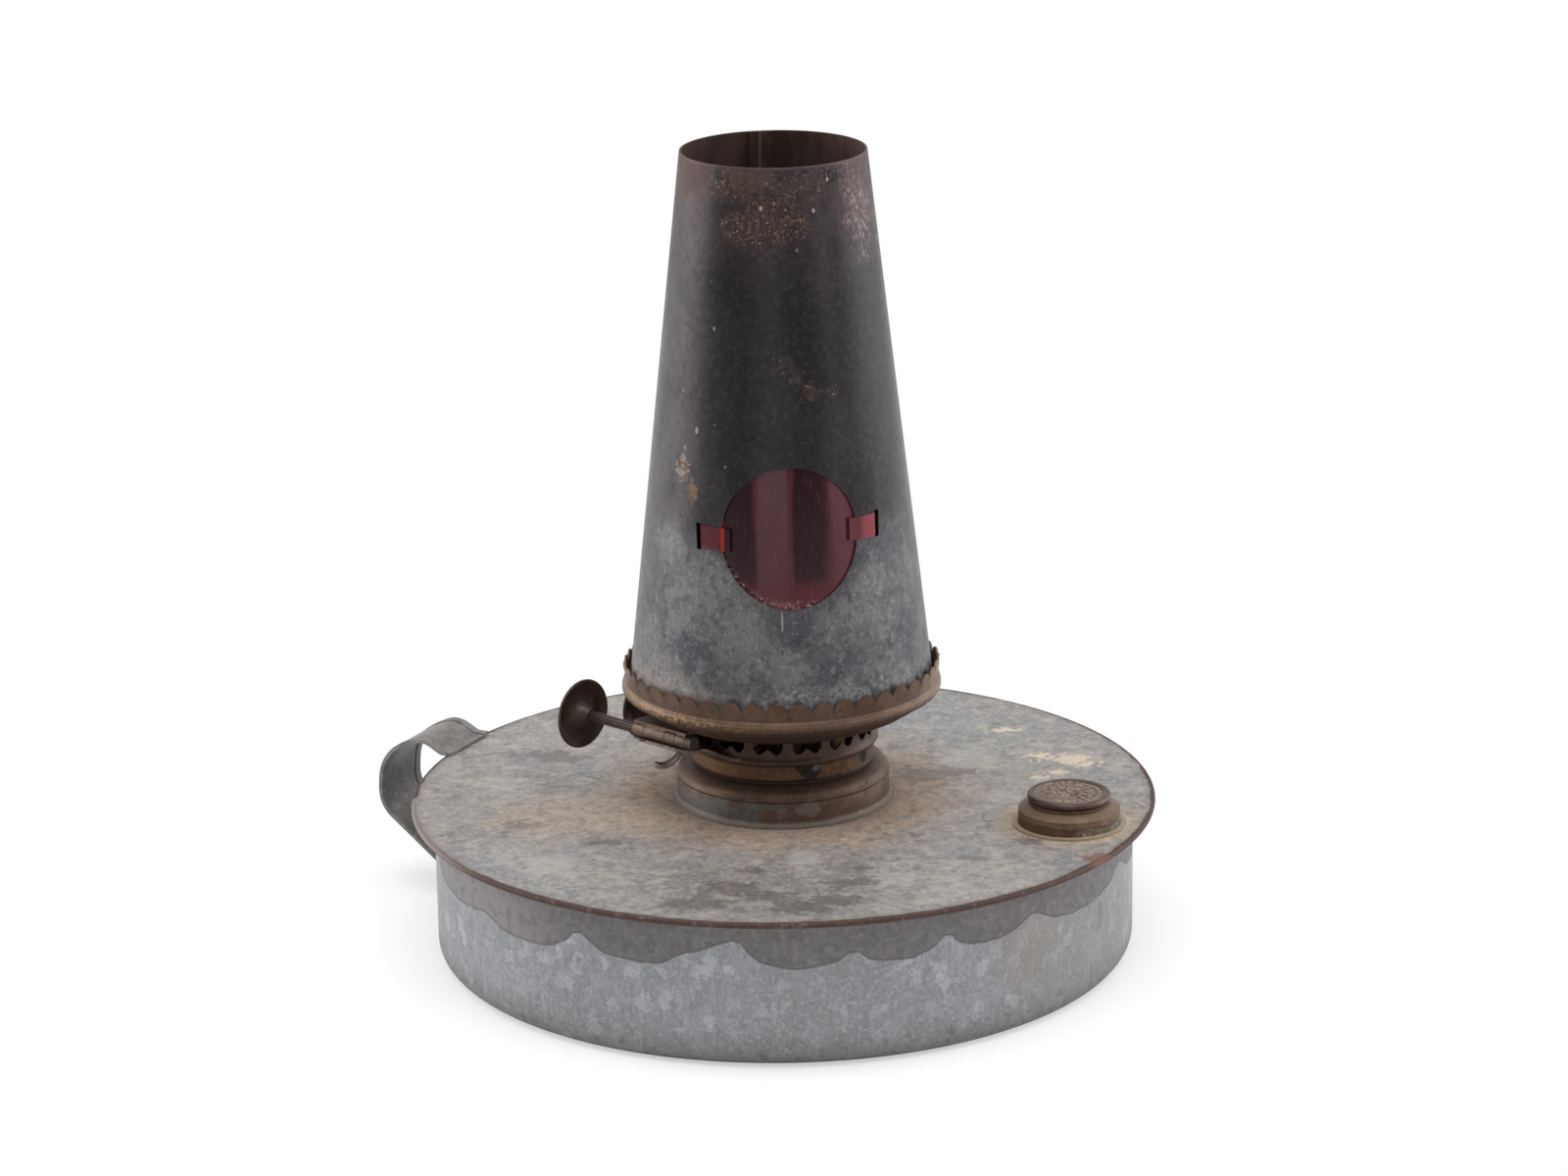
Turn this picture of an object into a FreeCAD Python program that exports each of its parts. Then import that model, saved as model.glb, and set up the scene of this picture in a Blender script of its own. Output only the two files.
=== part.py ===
import FreeCAD, Part
import Sketcher
import math
import os

# A brooder lamp in millimetres. The origin is on the tank's axis at the surface it stands on, +Z is up,
# and the window looks towards -Y.

SIZES = {
    # tank
    "tank_radius": 89.5,
    "tank_height": 39.5,
    "tank_sheet": 0.6,
    "foot_bend": 4.6,
    "foot_lip": 2.6,
    "foot_gap": 0.3,
    "rim_overhang": 5.75,
    "rim_hem_width": 2.4,
    "rim_hem_thickness": 1.5,
    "wall_seam_width": 7.0,
    "wall_seam_azimuth": 80.0,
    # handle
    "handle_azimuth": 153.3,
    "handle_width": 20.0,
    "handle_sheet": 0.6,
    "handle_hem_width": 2.4,
    "handle_hem_thickness": 1.0,
    "handle_reach": 25.5,
    "handle_rise": 3.9,
    "handle_tab": 2.6,
    "handle_foot": 4.4,
    "handle_low_point": 23.2,
    "handle_top_bend": 7.0,
    "handle_back_bend": 12.0,
    "handle_low_bend": 9.0,
    "handle_foot_bend": 1.6,
    # burner collar
    "collar_bore": 22.25,
    "collar_sheet": 0.6,
    "collar_lip": 1.6,
    "collar_radius": 27.2,
    "collar_band": 6.0,
    "collar_rise": 9.9,
    "collar_flange": 2.0,
    "collar_ridge": 0.35,
    # filler
    "filler_inset": 13.0,
    "filler_azimuth": 339.7,
    "filler_bore": 8.0,
    "filler_radius": 12.8,
    "filler_sheet": 0.6,
    "filler_band": 4.2,
    "filler_rise": 5.6,
    "filler_mouth": 1.6,
    "filler_flange": 1.5,
    "cap_radius": 10.6,
    "cap_sheet": 0.5,
    "cap_rim_height": 1.9,
    "cap_face_radius": 8.6,
    "cap_face_drop": 0.5,
    "cap_face_boss": 7.4,
    "cap_boss_rise": 0.3,
    "cap_plug_length": 5.5,
    "washer_thickness": 0.6,
    # burner base
    "thread_clearance": 0.35,
    "seat_gap": 0.1,
    "ring_radius": 23.3,
    "ring_height": 4.4,
    "ring_sheet": 0.6,
    "ring_bead": 0.3,
    "skirt_length": 7.5,
    "floor_sheet": 0.5,
    "basket_radius": 23.9,
    "basket_sheet": 0.5,
    "basket_height": 8.0,
    "basket_windows": 15.0,
    "basket_window_width": 7.8,
    "basket_window_height": 2.2,
    "basket_window_sill": 4.4,
    "basket_window_tooth": 1.4,
    "basket_window_aside": 1.25,
    "screen_sheet": 0.5,
    "screen_hole": 0.9,
    "screen_holes": 36.0,
    "screen_hole_circle": 20.6,
    # wick, tube and winder
    "wick_width": 38.0,
    "wick_thickness": 2.6,
    "wick_foot": 13.0,
    "wick_show": 0.8,
    "wick_gap": 0.3,
    "wick_side_gap": 1.0,
    "tube_sheet": 0.5,
    "tube_foot": 44.0,
    "tube_top": 82.5,
    "vent_radius": 1.8,
    "vent_sheet": 0.4,
    "vent_distance": 9.0,
    "vent_height": 12.0,
    "shaft_radius": 1.1,
    "shaft_rise": 1.6,
    "spur_radius": 4.6,
    "spur_teeth": 16.0,
    "spur_tooth_depth": 0.8,
    "spur_thickness": 1.4,
    "spur_spacing": 12.0,
    "spur_gap": 0.3,
    "sleeve_sheet": 0.4,
    "sleeve_length": 3.5,
    "running_gap": 0.05,
    "winder_reach": 41.4,
    # thumbwheels
    "wheel_radius": 9.0,
    "wheel_rim": 0.9,
    "wheel_depth": 2.2,
    "wheel_boss": 1.9,
    "wheel_boss_reach": 3.0,
    # hinge
    "burner_azimuth": 138.0,
    "hinge_reach": 31.5,
    "knuckle_radius": 1.8,
    "pin_radius": 1.35,
    "pin_flute_depth": 0.25,
    "pin_flutes": 12.0,
    "barrel_near": 3.6,
    "pin_head_length": 2.2,
    "fixed_knuckle": 3.7,
    "moving_knuckle": 3.1,
    "long_knuckle": 7.2,
    "outer_knuckle": 3.8,
    "knuckle_gap": 0.15,
    "tongue_sheet": 0.6,
    "leaf_sheet": 0.58,
    "leaf_gap": 0.12,
    "tongue_width": 19.5,
    "tongue_edge": 2.5,
    "lifter_reach": 40.0,
    "catch_width": 3.0,
    "catch_thickness": 0.8,
    "catch_length": 10.0,
    "catch_drop": 4.0,
    "catch_bend": 2.4,
    "catch_along": 5.0,
    "catch_turn": 36.0,
    # gallery
    "gallery_gap": 0.4,
    "gallery_sheet": 0.6,
    "gallery_hole": 25.0,
    "gallery_floor": 31.0,
    "gallery_cove_rise": 5.2,
    "bead_radius": 39.6,
    "bead_height": 3.2,
    "bead_bulge": 1.75,
    "coronet_height": 4.8,
    "coronet_lean": 0.5,
    "coronet_sheet": 0.5,
    "scallops": 43.0,
    "scallop_depth": 2.2,
    "scallop_edge": 0.15,
    "dome_radius": 29.5,
    "dome_sheet": 0.5,
    "dome_foot": 0.9,
    "dome_skirt": 5.0,
    "dome_rise": 17.5,
    "dome_crown": 21.6,
    "dome_slot_length": 43.0,
    "dome_slot_width": 6.4,
    # chimney
    "chimney_top_radius": 23.3,
    "chimney_foot_radius": 38.8,
    "chimney_height": 207.5,
    "chimney_sheet": 0.5,
    "chimney_seat_gap": 0.35,
    "chimney_azimuth": 4.9,
    "chimney_seam_azimuth": 93.0,
    "chimney_seam_width": 6.0,
    "seam_gap": 0.15,
    "window_half_width": 16.7,
    "window_half_height": 17.7,
    "window_height": 116.7,
    "pane_sheet": 0.3,
    "pane_lap": 2.3,
    "pane_gap": 0.05,
    "tab_width": 5.6,
    "tab_length": 4.9,
    "tab_step": 1.4,
    "tab_lift": 1.0,
    "slot_width": 1.0,
    "slot_gap": 0.5,
    # extra length by which every cutting shape passes the sheet it cuts
    "overrun": 1.0,
}

HALF_SHARE = 0.5
# a half round's radius, just over half its width so that its ends always meet the arc
ROUND_SHARE = 1.0001
# how far out the corners of an air hole reach down, of its half width
TOOTH_SHARE = 0.62


class Size:
    """A size as a number and as the formula that the sheet works it out from."""

    def __init__(self, value, text):
        self.value = value
        self.text = text

    def join(self, other, sign, value):
        return Size(value, f"({self.text} {sign} {text_of(other)})")

    def __add__(self, other):
        return self.join(other, "+", self.value + value_of(other))

    def __sub__(self, other):
        return self.join(other, "-", self.value - value_of(other))

    def __mul__(self, other):
        return self.join(other, "*", self.value * value_of(other))

    def __truediv__(self, other):
        return self.join(other, "/", self.value / value_of(other))

    def __neg__(self):
        return Size(-self.value, f"(0 - {self.text})")


def value_of(item):
    return item.value if isinstance(item, Size) else item


def text_of(item):
    return item.text if isinstance(item, Size) else repr(item)


def cosine(angle):
    return Size(math.cos(math.radians(angle.value)), f"cos({angle.text})")


def sine(angle):
    return Size(math.sin(math.radians(angle.value)), f"sin({angle.text})")


class Sheet:
    """The named sizes, written into the document's sheet and read back by name."""

    def __init__(self, document, sizes):
        self.cells = document.addObject("Spreadsheet::Sheet", "Sizes")
        for row, (name, value) in enumerate(sizes.items(), start=1):
            self.cells.set(f"A{row}", name)
            self.cells.set(f"B{row}", str(value))
            self.cells.setAlias(f"B{row}", name)
        document.recompute()
        self.sizes = {name: Size(value, f"Sizes.{name}") for name, value in sizes.items()}

    def __getattr__(self, name):
        return self.sizes[name]


DOC = FreeCAD.newDocument("BrooderLamp")
S = Sheet(DOC, SIZES)
NODES = []


# Places that several pieces share

TOP = S.tank_height
FILLER_DISTANCE = S.tank_radius - S.filler_inset
COLLAR_TOP = TOP + S.collar_rise
WASHER_FOOT = COLLAR_TOP + S.seat_gap
RING_FOOT = WASHER_FOOT + S.washer_thickness + S.seat_gap
RING_TOP = RING_FOOT + S.ring_height
BASKET_TOP = RING_TOP + S.basket_height
GALLERY_FOOT = BASKET_TOP + S.gallery_gap
BEAD_FOOT = GALLERY_FOOT + S.gallery_cove_rise
BEAD_TOP = BEAD_FOOT + S.bead_height
CORONET_TOP = BEAD_TOP + S.coronet_height
CHIMNEY_FOOT = BEAD_FOOT + S.gallery_sheet + S.chimney_seat_gap
SHAFT_HEIGHT = RING_TOP + S.shaft_rise
TUBE_HALF_WIDTH = S.wick_width / 2 + S.wick_side_gap
TUBE_HALF_DEPTH = S.wick_thickness / 2 + S.wick_gap
SHAFT_OFFSET = S.wick_thickness / 2 + S.spur_gap + S.spur_radius
KNUCKLE_BORE = S.pin_radius + S.running_gap
LEAF_FOOT = GALLERY_FOOT - S.leaf_sheet
HINGE_HEIGHT = LEAF_FOOT - S.leaf_gap - S.knuckle_radius
TONGUE_TOP = HINGE_HEIGHT - S.knuckle_radius - S.leaf_gap
CHIMNEY_TAPER = (S.chimney_foot_radius - S.chimney_top_radius) / (S.chimney_height - CHIMNEY_FOOT)


# Helpers for placing and sketching

def placed(item, x=0, y=0, z=0, azimuth=0, before=""):
    """Bind the placement of an object to a point and a turn about +Z."""
    spot = f"vector({text_of(x)}; {text_of(y)}; {text_of(z)})"
    turn = f"rotation(vector(0; 0; 1); {text_of(azimuth)})"
    item.setExpression("Placement", f"placement({spot}; {turn}){before}")
    return item


def new_body(label, azimuth=0, x=0, y=0):
    body = DOC.addObject("PartDesign::Body", label)
    body.Label = label
    placed(body, x, y, 0, azimuth)
    NODES.append(body)
    return body


def origin_feature(body, role):
    return [item for item in body.Origin.OriginFeatures if item.Role == role][0]


def new_sketch(body, name, plane, across=0, up=0, out=0):
    """A sketch on an origin plane of the body, shifted within the plane and along its normal."""
    sketch = body.newObject("Sketcher::SketchObject", name)
    sketch.AttachmentSupport = (origin_feature(body, plane), [""])
    sketch.MapMode = "FlatFace"
    for path, item in (("x", across), ("y", up), ("z", out)):
        if isinstance(item, Size):
            sketch.setExpression(f"AttachmentOffset.Base.{path}", item.text)
    return sketch


def bound(sketch, kind, target, item):
    """Add a dimension that follows the sheet."""
    index = sketch.addConstraint(Sketcher.Constraint(kind, *target, value_of(item)))
    sketch.setExpression(f"Constraints[{index}]", text_of(item))


def pin_point(sketch, geometry, vertex, x, y):
    """Fix one end of a line or arc at a place given from the sketch's origin."""
    if value_of(x) == 0:
        sketch.addConstraint(Sketcher.Constraint("PointOnObject", geometry, vertex, -2))
    else:
        bound(sketch, "DistanceX", (-1, 1, geometry, vertex), x)
    if value_of(y) == 0:
        sketch.addConstraint(Sketcher.Constraint("PointOnObject", geometry, vertex, -1))
    else:
        bound(sketch, "DistanceY", (-1, 1, geometry, vertex), y)


def arc_through(start, end, radius, side):
    """The shorter arc of a radius between two points. It bulges to the left of travel when side is 1."""
    chord = end - start
    half = chord.Length / 2
    sagitta = radius - math.sqrt(max(radius * radius - half * half, 0))
    left = FreeCAD.Vector(-chord.y, chord.x, 0).normalize()
    middle = (start + end) / 2 + left * sagitta * side
    return Part.Arc(start, middle, end)


def outline(sketch, points):
    """Draw a closed outline. A point is (x, y), or (x, y, radius, side) where an arc leaves it."""
    spots = [FreeCAD.Vector(value_of(point[0]), value_of(point[1]), 0) for point in points]
    ends = []
    for index, point in enumerate(points):
        start = spots[index]
        end = spots[(index + 1) % len(spots)]
        if len(point) == 2:
            geometry = sketch.addGeometry(Part.LineSegment(start, end), False)
            first = 1
        else:
            geometry = sketch.addGeometry(arc_through(start, end, value_of(point[2]), point[3]), False)
            first = 1 if sketch.getPoint(geometry, 1).distanceToPoint(start) < sketch.getPoint(
                geometry, 2).distanceToPoint(start) else 2
            bound(sketch, "Radius", (geometry,), point[2])
        ends.append((geometry, first))
    for index, (geometry, first) in enumerate(ends):
        following, start = ends[(index + 1) % len(ends)]
        sketch.addConstraint(Sketcher.Constraint("Coincident", geometry, 3 - first, following, start))
        pin_point(sketch, geometry, first, points[index][0], points[index][1])


def circle(sketch, radius, x=0, y=0):
    centre = FreeCAD.Vector(value_of(x), value_of(y), 0)
    geometry = sketch.addGeometry(Part.Circle(centre, FreeCAD.Vector(0, 0, 1), value_of(radius)), False)
    bound(sketch, "Radius", (geometry,), radius)
    pin_point(sketch, geometry, 3, x, y)


def rectangle(sketch, left, low, right, high):
    outline(sketch, [(left, low), (right, low), (right, high), (left, high)])


def rounded_strip(sketch, half_width, half_depth):
    """A flat tube's section: straight sides with half-round ends."""
    straight = half_width - half_depth
    outline(sketch, [
        (-straight, -half_depth),
        (straight, -half_depth, half_depth * ROUND_SHARE, -1),
        (straight, half_depth),
        (-straight, half_depth, half_depth * ROUND_SHARE, -1),
    ])


# Helpers for features

def turned(body, points, name="Profile", axis="V_Axis", across=0, up=0, out=0, angle=None, kind="Revolution"):
    """Turn an outline, drawn in the body's XZ plane, about one of the sketch's axes."""
    sketch = new_sketch(body, name, "XZ_Plane", across, up, out)
    outline(sketch, points)
    feature = body.newObject(f"PartDesign::{kind}", f"{name}Turned")
    feature.Profile = sketch
    feature.ReferenceAxis = (sketch, [axis])
    feature.Angle = 360
    if angle is not None:
        feature.setExpression("Angle", angle.text)
        feature.Midplane = True
    return feature


def drawn_out(body, sketch, length, kind="Pad", side="One side", reverse=False):
    """Pad or pocket a sketch by a length."""
    feature = body.newObject(f"PartDesign::{kind}", f"{sketch.Name}{kind}")
    feature.Profile = sketch
    feature.setExpression("Length", length.text)
    feature.SideType = side
    feature.Reversed = reverse
    return feature


def ringed(body, feature, count, axis=None):
    """Repeat a feature around the body's Z axis, or around the normal of a sketch."""
    pattern = body.newObject("PartDesign::PolarPattern", f"{feature.Name}Ring")
    pattern.Originals = [feature]
    pattern.Axis = axis or (origin_feature(body, "Z_Axis"), [""])
    pattern.Angle = 360
    pattern.setExpression("Occurrences", count.text)
    body.Tip = pattern
    return pattern


def shaped(label, shape, azimuth=0, x=0, y=0):
    """A piece whose shape is worked out from the sheet's values."""
    item = DOC.addObject("Part::Feature", label)
    item.Label = label
    item.Shape = shape
    placed(item, x, y, 0, azimuth)
    NODES.append(item)
    return item


def rounded_path(corners, radii):
    """Straight runs through corner points, joined by tangent arcs."""
    edges = []
    start = corners[0]
    for index in range(1, len(corners) - 1):
        corner = corners[index]
        back = (corners[index - 1] - corner).normalize()
        ahead = (corners[index + 1] - corner).normalize()
        half_turn = (math.pi - back.getAngle(ahead)) / 2
        reach = radii[index - 1] * math.tan(half_turn)
        bisector = (back + ahead).normalize()
        middle = corner + bisector * (radii[index - 1] / math.cos(half_turn) - radii[index - 1])
        arc_start = corner + back * reach
        arc_end = corner + ahead * reach
        edges.append(Part.LineSegment(start, arc_start).toShape())
        edges.append(Part.Arc(arc_start, middle, arc_end).toShape())
        start = arc_end
    edges.append(Part.LineSegment(start, corners[-1]).toShape())
    return Part.Wire(edges)


def swept(path, section):
    """Sweep a closed section, drawn where the path starts, along the path."""
    return path.makePipeShell([section], True, True)


def closed_wire(points):
    return Part.makePolygon(points + points[:1])


def cutter(label, kind, sizes, x=0, y=0, z=0, azimuth=0, before=""):
    """A primitive that takes part in a boolean, with its sizes bound to the sheet."""
    item = DOC.addObject(f"Part::{kind}", label)
    for name, size in sizes.items():
        item.setExpression(name, text_of(size))
    placed(item, x, y, z, azimuth, before)
    return item


def boolean(kind, label, base, tool):
    item = DOC.addObject(f"Part::{kind}", label)
    item.Base = base
    item.Tool = tool
    return item


def on_axis(label, item):
    """Keep an object as a node of its own."""
    item.Label = label
    NODES.append(item)
    return item


# Tank

def make_tank_wall():
    body = new_body("tank_wall", S.wall_seam_azimuth)
    outer = S.tank_radius
    inner = outer - S.tank_sheet
    wall_top = TOP - S.tank_sheet
    bend = S.foot_bend
    lip = outer - bend - S.foot_lip
    turned(body, [
        (lip, 0),
        (outer - bend, 0, bend, -1),
        (outer, bend),
        (outer, wall_top),
        (inner, wall_top),
        (inner, bend, bend - S.tank_sheet, 1),
        (outer - bend, S.tank_sheet),
        (lip, S.tank_sheet),
    ])
    seam_angle = S.wall_seam_width / S.tank_radius * (180 / math.pi)
    turned(body, [
        (outer - S.tank_sheet * HALF_SHARE, bend),
        (outer + S.tank_sheet, bend),
        (outer + S.tank_sheet, wall_top),
        (outer - S.tank_sheet * HALF_SHARE, wall_top),
    ], name="Seam", angle=seam_angle)


def make_tank_bottom():
    """The bottom lies on the turned-in foot, and its middle is pressed down to the surface below."""
    body = new_body("tank_bottom")
    sheet = S.tank_sheet
    edge = S.tank_radius - S.foot_bend - sheet
    step = S.tank_radius - S.foot_bend - S.foot_lip - S.foot_gap
    turned(body, [
        (0, 0),
        (step, 0),
        (step, sheet),
        (edge, sheet),
        (edge, sheet * 2),
        (step - sheet, sheet * 2),
        (step - sheet, sheet),
        (0, sheet),
    ])


def make_tank_top():
    body = new_body("tank_top")
    edge = S.tank_radius + S.rim_overhang
    hole = S.collar_bore + S.collar_sheet * 2
    hem_round = S.rim_hem_thickness / 2
    turned(body, [
        (hole, TOP - S.tank_sheet),
        (edge - S.rim_hem_width, TOP - S.tank_sheet),
        (edge - S.rim_hem_width, TOP - S.rim_hem_thickness),
        (edge - hem_round, TOP - S.rim_hem_thickness, hem_round * ROUND_SHARE, -1),
        (edge - hem_round, TOP),
        (hole, TOP),
    ])
    sketch = new_sketch(body, "FillerHole", "XY_Plane", out=TOP + S.overrun)
    filler_hole = S.filler_bore + S.filler_sheet * 2
    circle(sketch, filler_hole, FILLER_DISTANCE * cosine(S.filler_azimuth),
           FILLER_DISTANCE * sine(S.filler_azimuth))
    drawn_out(body, sketch, S.rim_hem_thickness + S.overrun * 2, "Pocket")


def make_handle():
    """The strap's section has hems along both edges; its path lies in the plane of the handle."""
    wall = S.tank_radius.value
    rim = wall + S.rim_overhang.value
    reach = S.handle_reach.value
    lift = S.handle_hem_thickness.value / 2
    low = S.handle_low_point.value
    path_shares = {"peak": 0.486, "back": 0.957, "back_up": 0.72, "low": 1.0, "turn": 0.32, "turn_up": 0.05}
    rise = TOP.value + S.handle_rise.value
    foot_top = S.handle_foot.value + S.foot_bend.value
    back_height = low + (rise - low) * path_shares["back_up"]
    turn_height = foot_top + (low - foot_top) * path_shares["turn_up"]
    corners = [
        FreeCAD.Vector(rim - S.handle_tab.value, 0, TOP.value + lift),
        FreeCAD.Vector(rim + lift, 0, TOP.value + lift),
        FreeCAD.Vector(wall + reach * path_shares["peak"], 0, rise),
        FreeCAD.Vector(wall + reach * path_shares["back"], 0, back_height),
        FreeCAD.Vector(wall + reach * path_shares["low"], 0, low),
        FreeCAD.Vector(wall + reach * path_shares["turn"], 0, turn_height),
        FreeCAD.Vector(wall + lift, 0, foot_top),
        FreeCAD.Vector(wall + lift, 0, S.foot_bend.value),
    ]
    foot_bend = S.handle_foot_bend
    bends = [foot_bend, S.handle_top_bend, S.handle_back_bend, S.handle_low_bend, foot_bend * 2, foot_bend]
    radii = [bend.value for bend in bends]
    path = rounded_path(corners, radii)
    half = S.handle_width.value / 2
    hem = half - S.handle_hem_width.value
    thick = S.handle_hem_thickness.value / 2
    thin = S.handle_sheet.value / 2
    upper = [(-half, thick), (-hem, thick), (-hem, thin), (hem, thin), (hem, thick), (half, thick)]
    ring = upper + [(across, -up) for across, up in reversed(upper)]
    start = corners[0]
    section = closed_wire([FreeCAD.Vector(start.x, across, start.z + up) for across, up in ring])
    shaped("handle_strap", swept(path, section), S.handle_azimuth)


def make_collar():
    """A spun collar, shaped like an upturned gutter: threaded neck inside, band and shoulder outside."""
    body = new_body("burner_collar")
    skin = S.collar_sheet
    outer = S.collar_radius
    neck = S.collar_bore
    lip = neck + skin + S.collar_lip
    band_top = TOP + skin + S.collar_band
    shoulder = COLLAR_TOP - band_top
    spread = outer - lip
    bend = (spread * spread + shoulder * shoulder) / (shoulder * 2)
    turned(body, [
        (outer - skin, TOP),
        (outer + S.collar_flange, TOP),
        (outer + S.collar_flange, TOP + skin),
        (outer, TOP + skin),
        (outer, band_top - S.collar_ridge * 2),
        (outer + S.collar_ridge, band_top - S.collar_ridge),
        (outer, band_top, bend, -1),
        (lip, COLLAR_TOP),
        (neck, COLLAR_TOP),
        (neck, TOP - skin),
        (neck + skin, TOP - skin),
        (neck + skin, COLLAR_TOP - skin),
        (lip, COLLAR_TOP - skin),
        (outer - skin, band_top - skin * HALF_SHARE),
    ])


# Filler

def at_filler(label):
    return new_body(label, S.filler_azimuth, FILLER_DISTANCE * cosine(S.filler_azimuth),
                    FILLER_DISTANCE * sine(S.filler_azimuth))


FILLER_TOP = TOP + S.filler_rise


def make_filler_neck():
    body = at_filler("filler_neck")
    skin = S.filler_sheet
    outer = S.filler_radius
    neck = S.filler_bore
    mouth = neck + skin + S.filler_mouth
    turned(body, [
        (outer - skin, TOP),
        (outer + S.filler_flange, TOP),
        (outer + S.filler_flange, TOP + skin),
        (outer, TOP + skin),
        (outer, TOP + S.filler_band),
        (mouth, FILLER_TOP),
        (neck, FILLER_TOP),
        (neck, TOP - skin),
        (neck + skin, TOP - skin),
        (neck + skin, FILLER_TOP - skin),
        (mouth, FILLER_TOP - skin),
        (outer - skin, TOP + S.filler_band - skin * HALF_SHARE),
    ])


def make_cap_washer():
    body = at_filler("cap_washer")
    foot = FILLER_TOP + S.seat_gap
    outer = S.filler_bore + S.filler_sheet + S.filler_mouth
    turned(body, [
        (S.filler_bore, foot),
        (outer, foot),
        (outer, foot + S.washer_thickness),
        (S.filler_bore, foot + S.washer_thickness),
    ])


def make_filler_cap():
    """A stamped cap: rolled rim, sunk face with a raised middle, and a threaded plug below."""
    body = at_filler("filler_cap")
    foot = FILLER_TOP + S.washer_thickness + S.seat_gap * 2
    skin = S.cap_sheet
    edge = S.cap_radius
    rim = S.cap_rim_height
    rim_round = rim / 2
    face = foot + rim - S.cap_face_drop
    plug = S.filler_bore - S.thread_clearance
    turned(body, [
        (0, foot),
        (plug - skin, foot),
        (plug - skin, foot - S.cap_plug_length),
        (plug, foot - S.cap_plug_length),
        (plug, foot),
        (edge - rim_round, foot, rim_round * ROUND_SHARE, -1),
        (edge - rim_round, foot + rim),
        (S.cap_face_radius + S.cap_face_drop, foot + rim),
        (S.cap_face_radius, face),
        (S.cap_face_boss + S.cap_boss_rise, face),
        (S.cap_face_boss, face + S.cap_boss_rise),
        (0, face + S.cap_boss_rise),
    ])


# Burner base

def make_burner_washer():
    body = new_body("burner_washer")
    turned(body, [
        (S.collar_bore, WASHER_FOOT),
        (S.ring_radius, WASHER_FOOT),
        (S.ring_radius, WASHER_FOOT + S.washer_thickness),
        (S.collar_bore, WASHER_FOOT + S.washer_thickness),
    ])


def make_burner_ring():
    """The burner's cup: a rolled band, a flat floor with the wick slot, and the threaded skirt."""
    body = new_body("burner_ring", S.burner_azimuth)
    skin = S.ring_sheet
    outer = S.ring_radius
    skirt = S.collar_bore - S.thread_clearance
    turned(body, [
        (0, RING_FOOT),
        (skirt - skin, RING_FOOT),
        (skirt - skin, RING_FOOT - S.skirt_length),
        (skirt, RING_FOOT - S.skirt_length),
        (skirt, RING_FOOT),
        (outer, RING_FOOT),
        (outer + S.ring_bead, RING_FOOT + S.ring_bead),
        (outer, RING_FOOT + S.ring_bead * 2),
        (outer, RING_TOP - S.ring_bead),
        (outer + S.ring_bead, RING_TOP),
        (outer - skin, RING_TOP),
        (outer - skin, RING_FOOT + S.floor_sheet),
        (0, RING_FOOT + S.floor_sheet),
    ])
    sketch = new_sketch(body, "WickSlot", "XY_Plane", out=RING_FOOT + S.floor_sheet + S.overrun)
    rounded_strip(sketch, TUBE_HALF_WIDTH + S.tube_sheet, TUBE_HALF_DEPTH + S.tube_sheet)
    drawn_out(body, sketch, S.floor_sheet + S.overrun * 2, "Pocket")
    vent = new_sketch(body, "VentHole", "XY_Plane", out=RING_FOOT + S.floor_sheet + S.overrun)
    circle(vent, S.vent_radius, 0, -S.vent_distance)
    drawn_out(body, vent, S.floor_sheet + S.overrun * 2, "Pocket")


def make_air_basket():
    """A cylinder pierced by a row of scalloped air holes, with the hole for the winder sleeve."""
    body = new_body("air_basket", S.burner_azimuth)
    inner = S.basket_radius - S.basket_sheet
    turned(body, [
        (inner - S.basket_sheet, RING_TOP),
        (S.basket_radius, RING_TOP),
        (S.basket_radius, BASKET_TOP),
        (inner - S.basket_sheet, BASKET_TOP),
        (inner - S.basket_sheet, BASKET_TOP - S.basket_sheet),
        (inner, BASKET_TOP - S.basket_sheet),
        (inner, RING_TOP + S.basket_sheet),
        (inner - S.basket_sheet, RING_TOP + S.basket_sheet),
    ])
    sill = RING_TOP + S.basket_window_sill
    half = S.basket_window_width / 2
    head = sill + S.basket_window_height
    low = sill - S.basket_window_tooth
    window = new_sketch(body, "AirHole", "YZ_Plane", across=S.basket_window_aside, out=inner - S.overrun)
    outline(window, [
        (-half, sill),
        (-half * TOOTH_SHARE, low),
        (0, sill),
        (half * TOOTH_SHARE, low),
        (half, sill),
        (half, head),
        (-half, head),
    ])
    hole = drawn_out(body, window, S.basket_sheet + S.overrun * 2, "Pocket", reverse=True)
    ringed(body, hole, S.basket_windows)
    sleeve = new_sketch(body, "SleeveHole", "YZ_Plane", across=SHAFT_OFFSET, up=SHAFT_HEIGHT)
    circle(sleeve, S.shaft_radius + S.running_gap + S.sleeve_sheet)
    body.Tip = drawn_out(body, sleeve, S.basket_radius + S.overrun, "Pocket", reverse=True)


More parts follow.
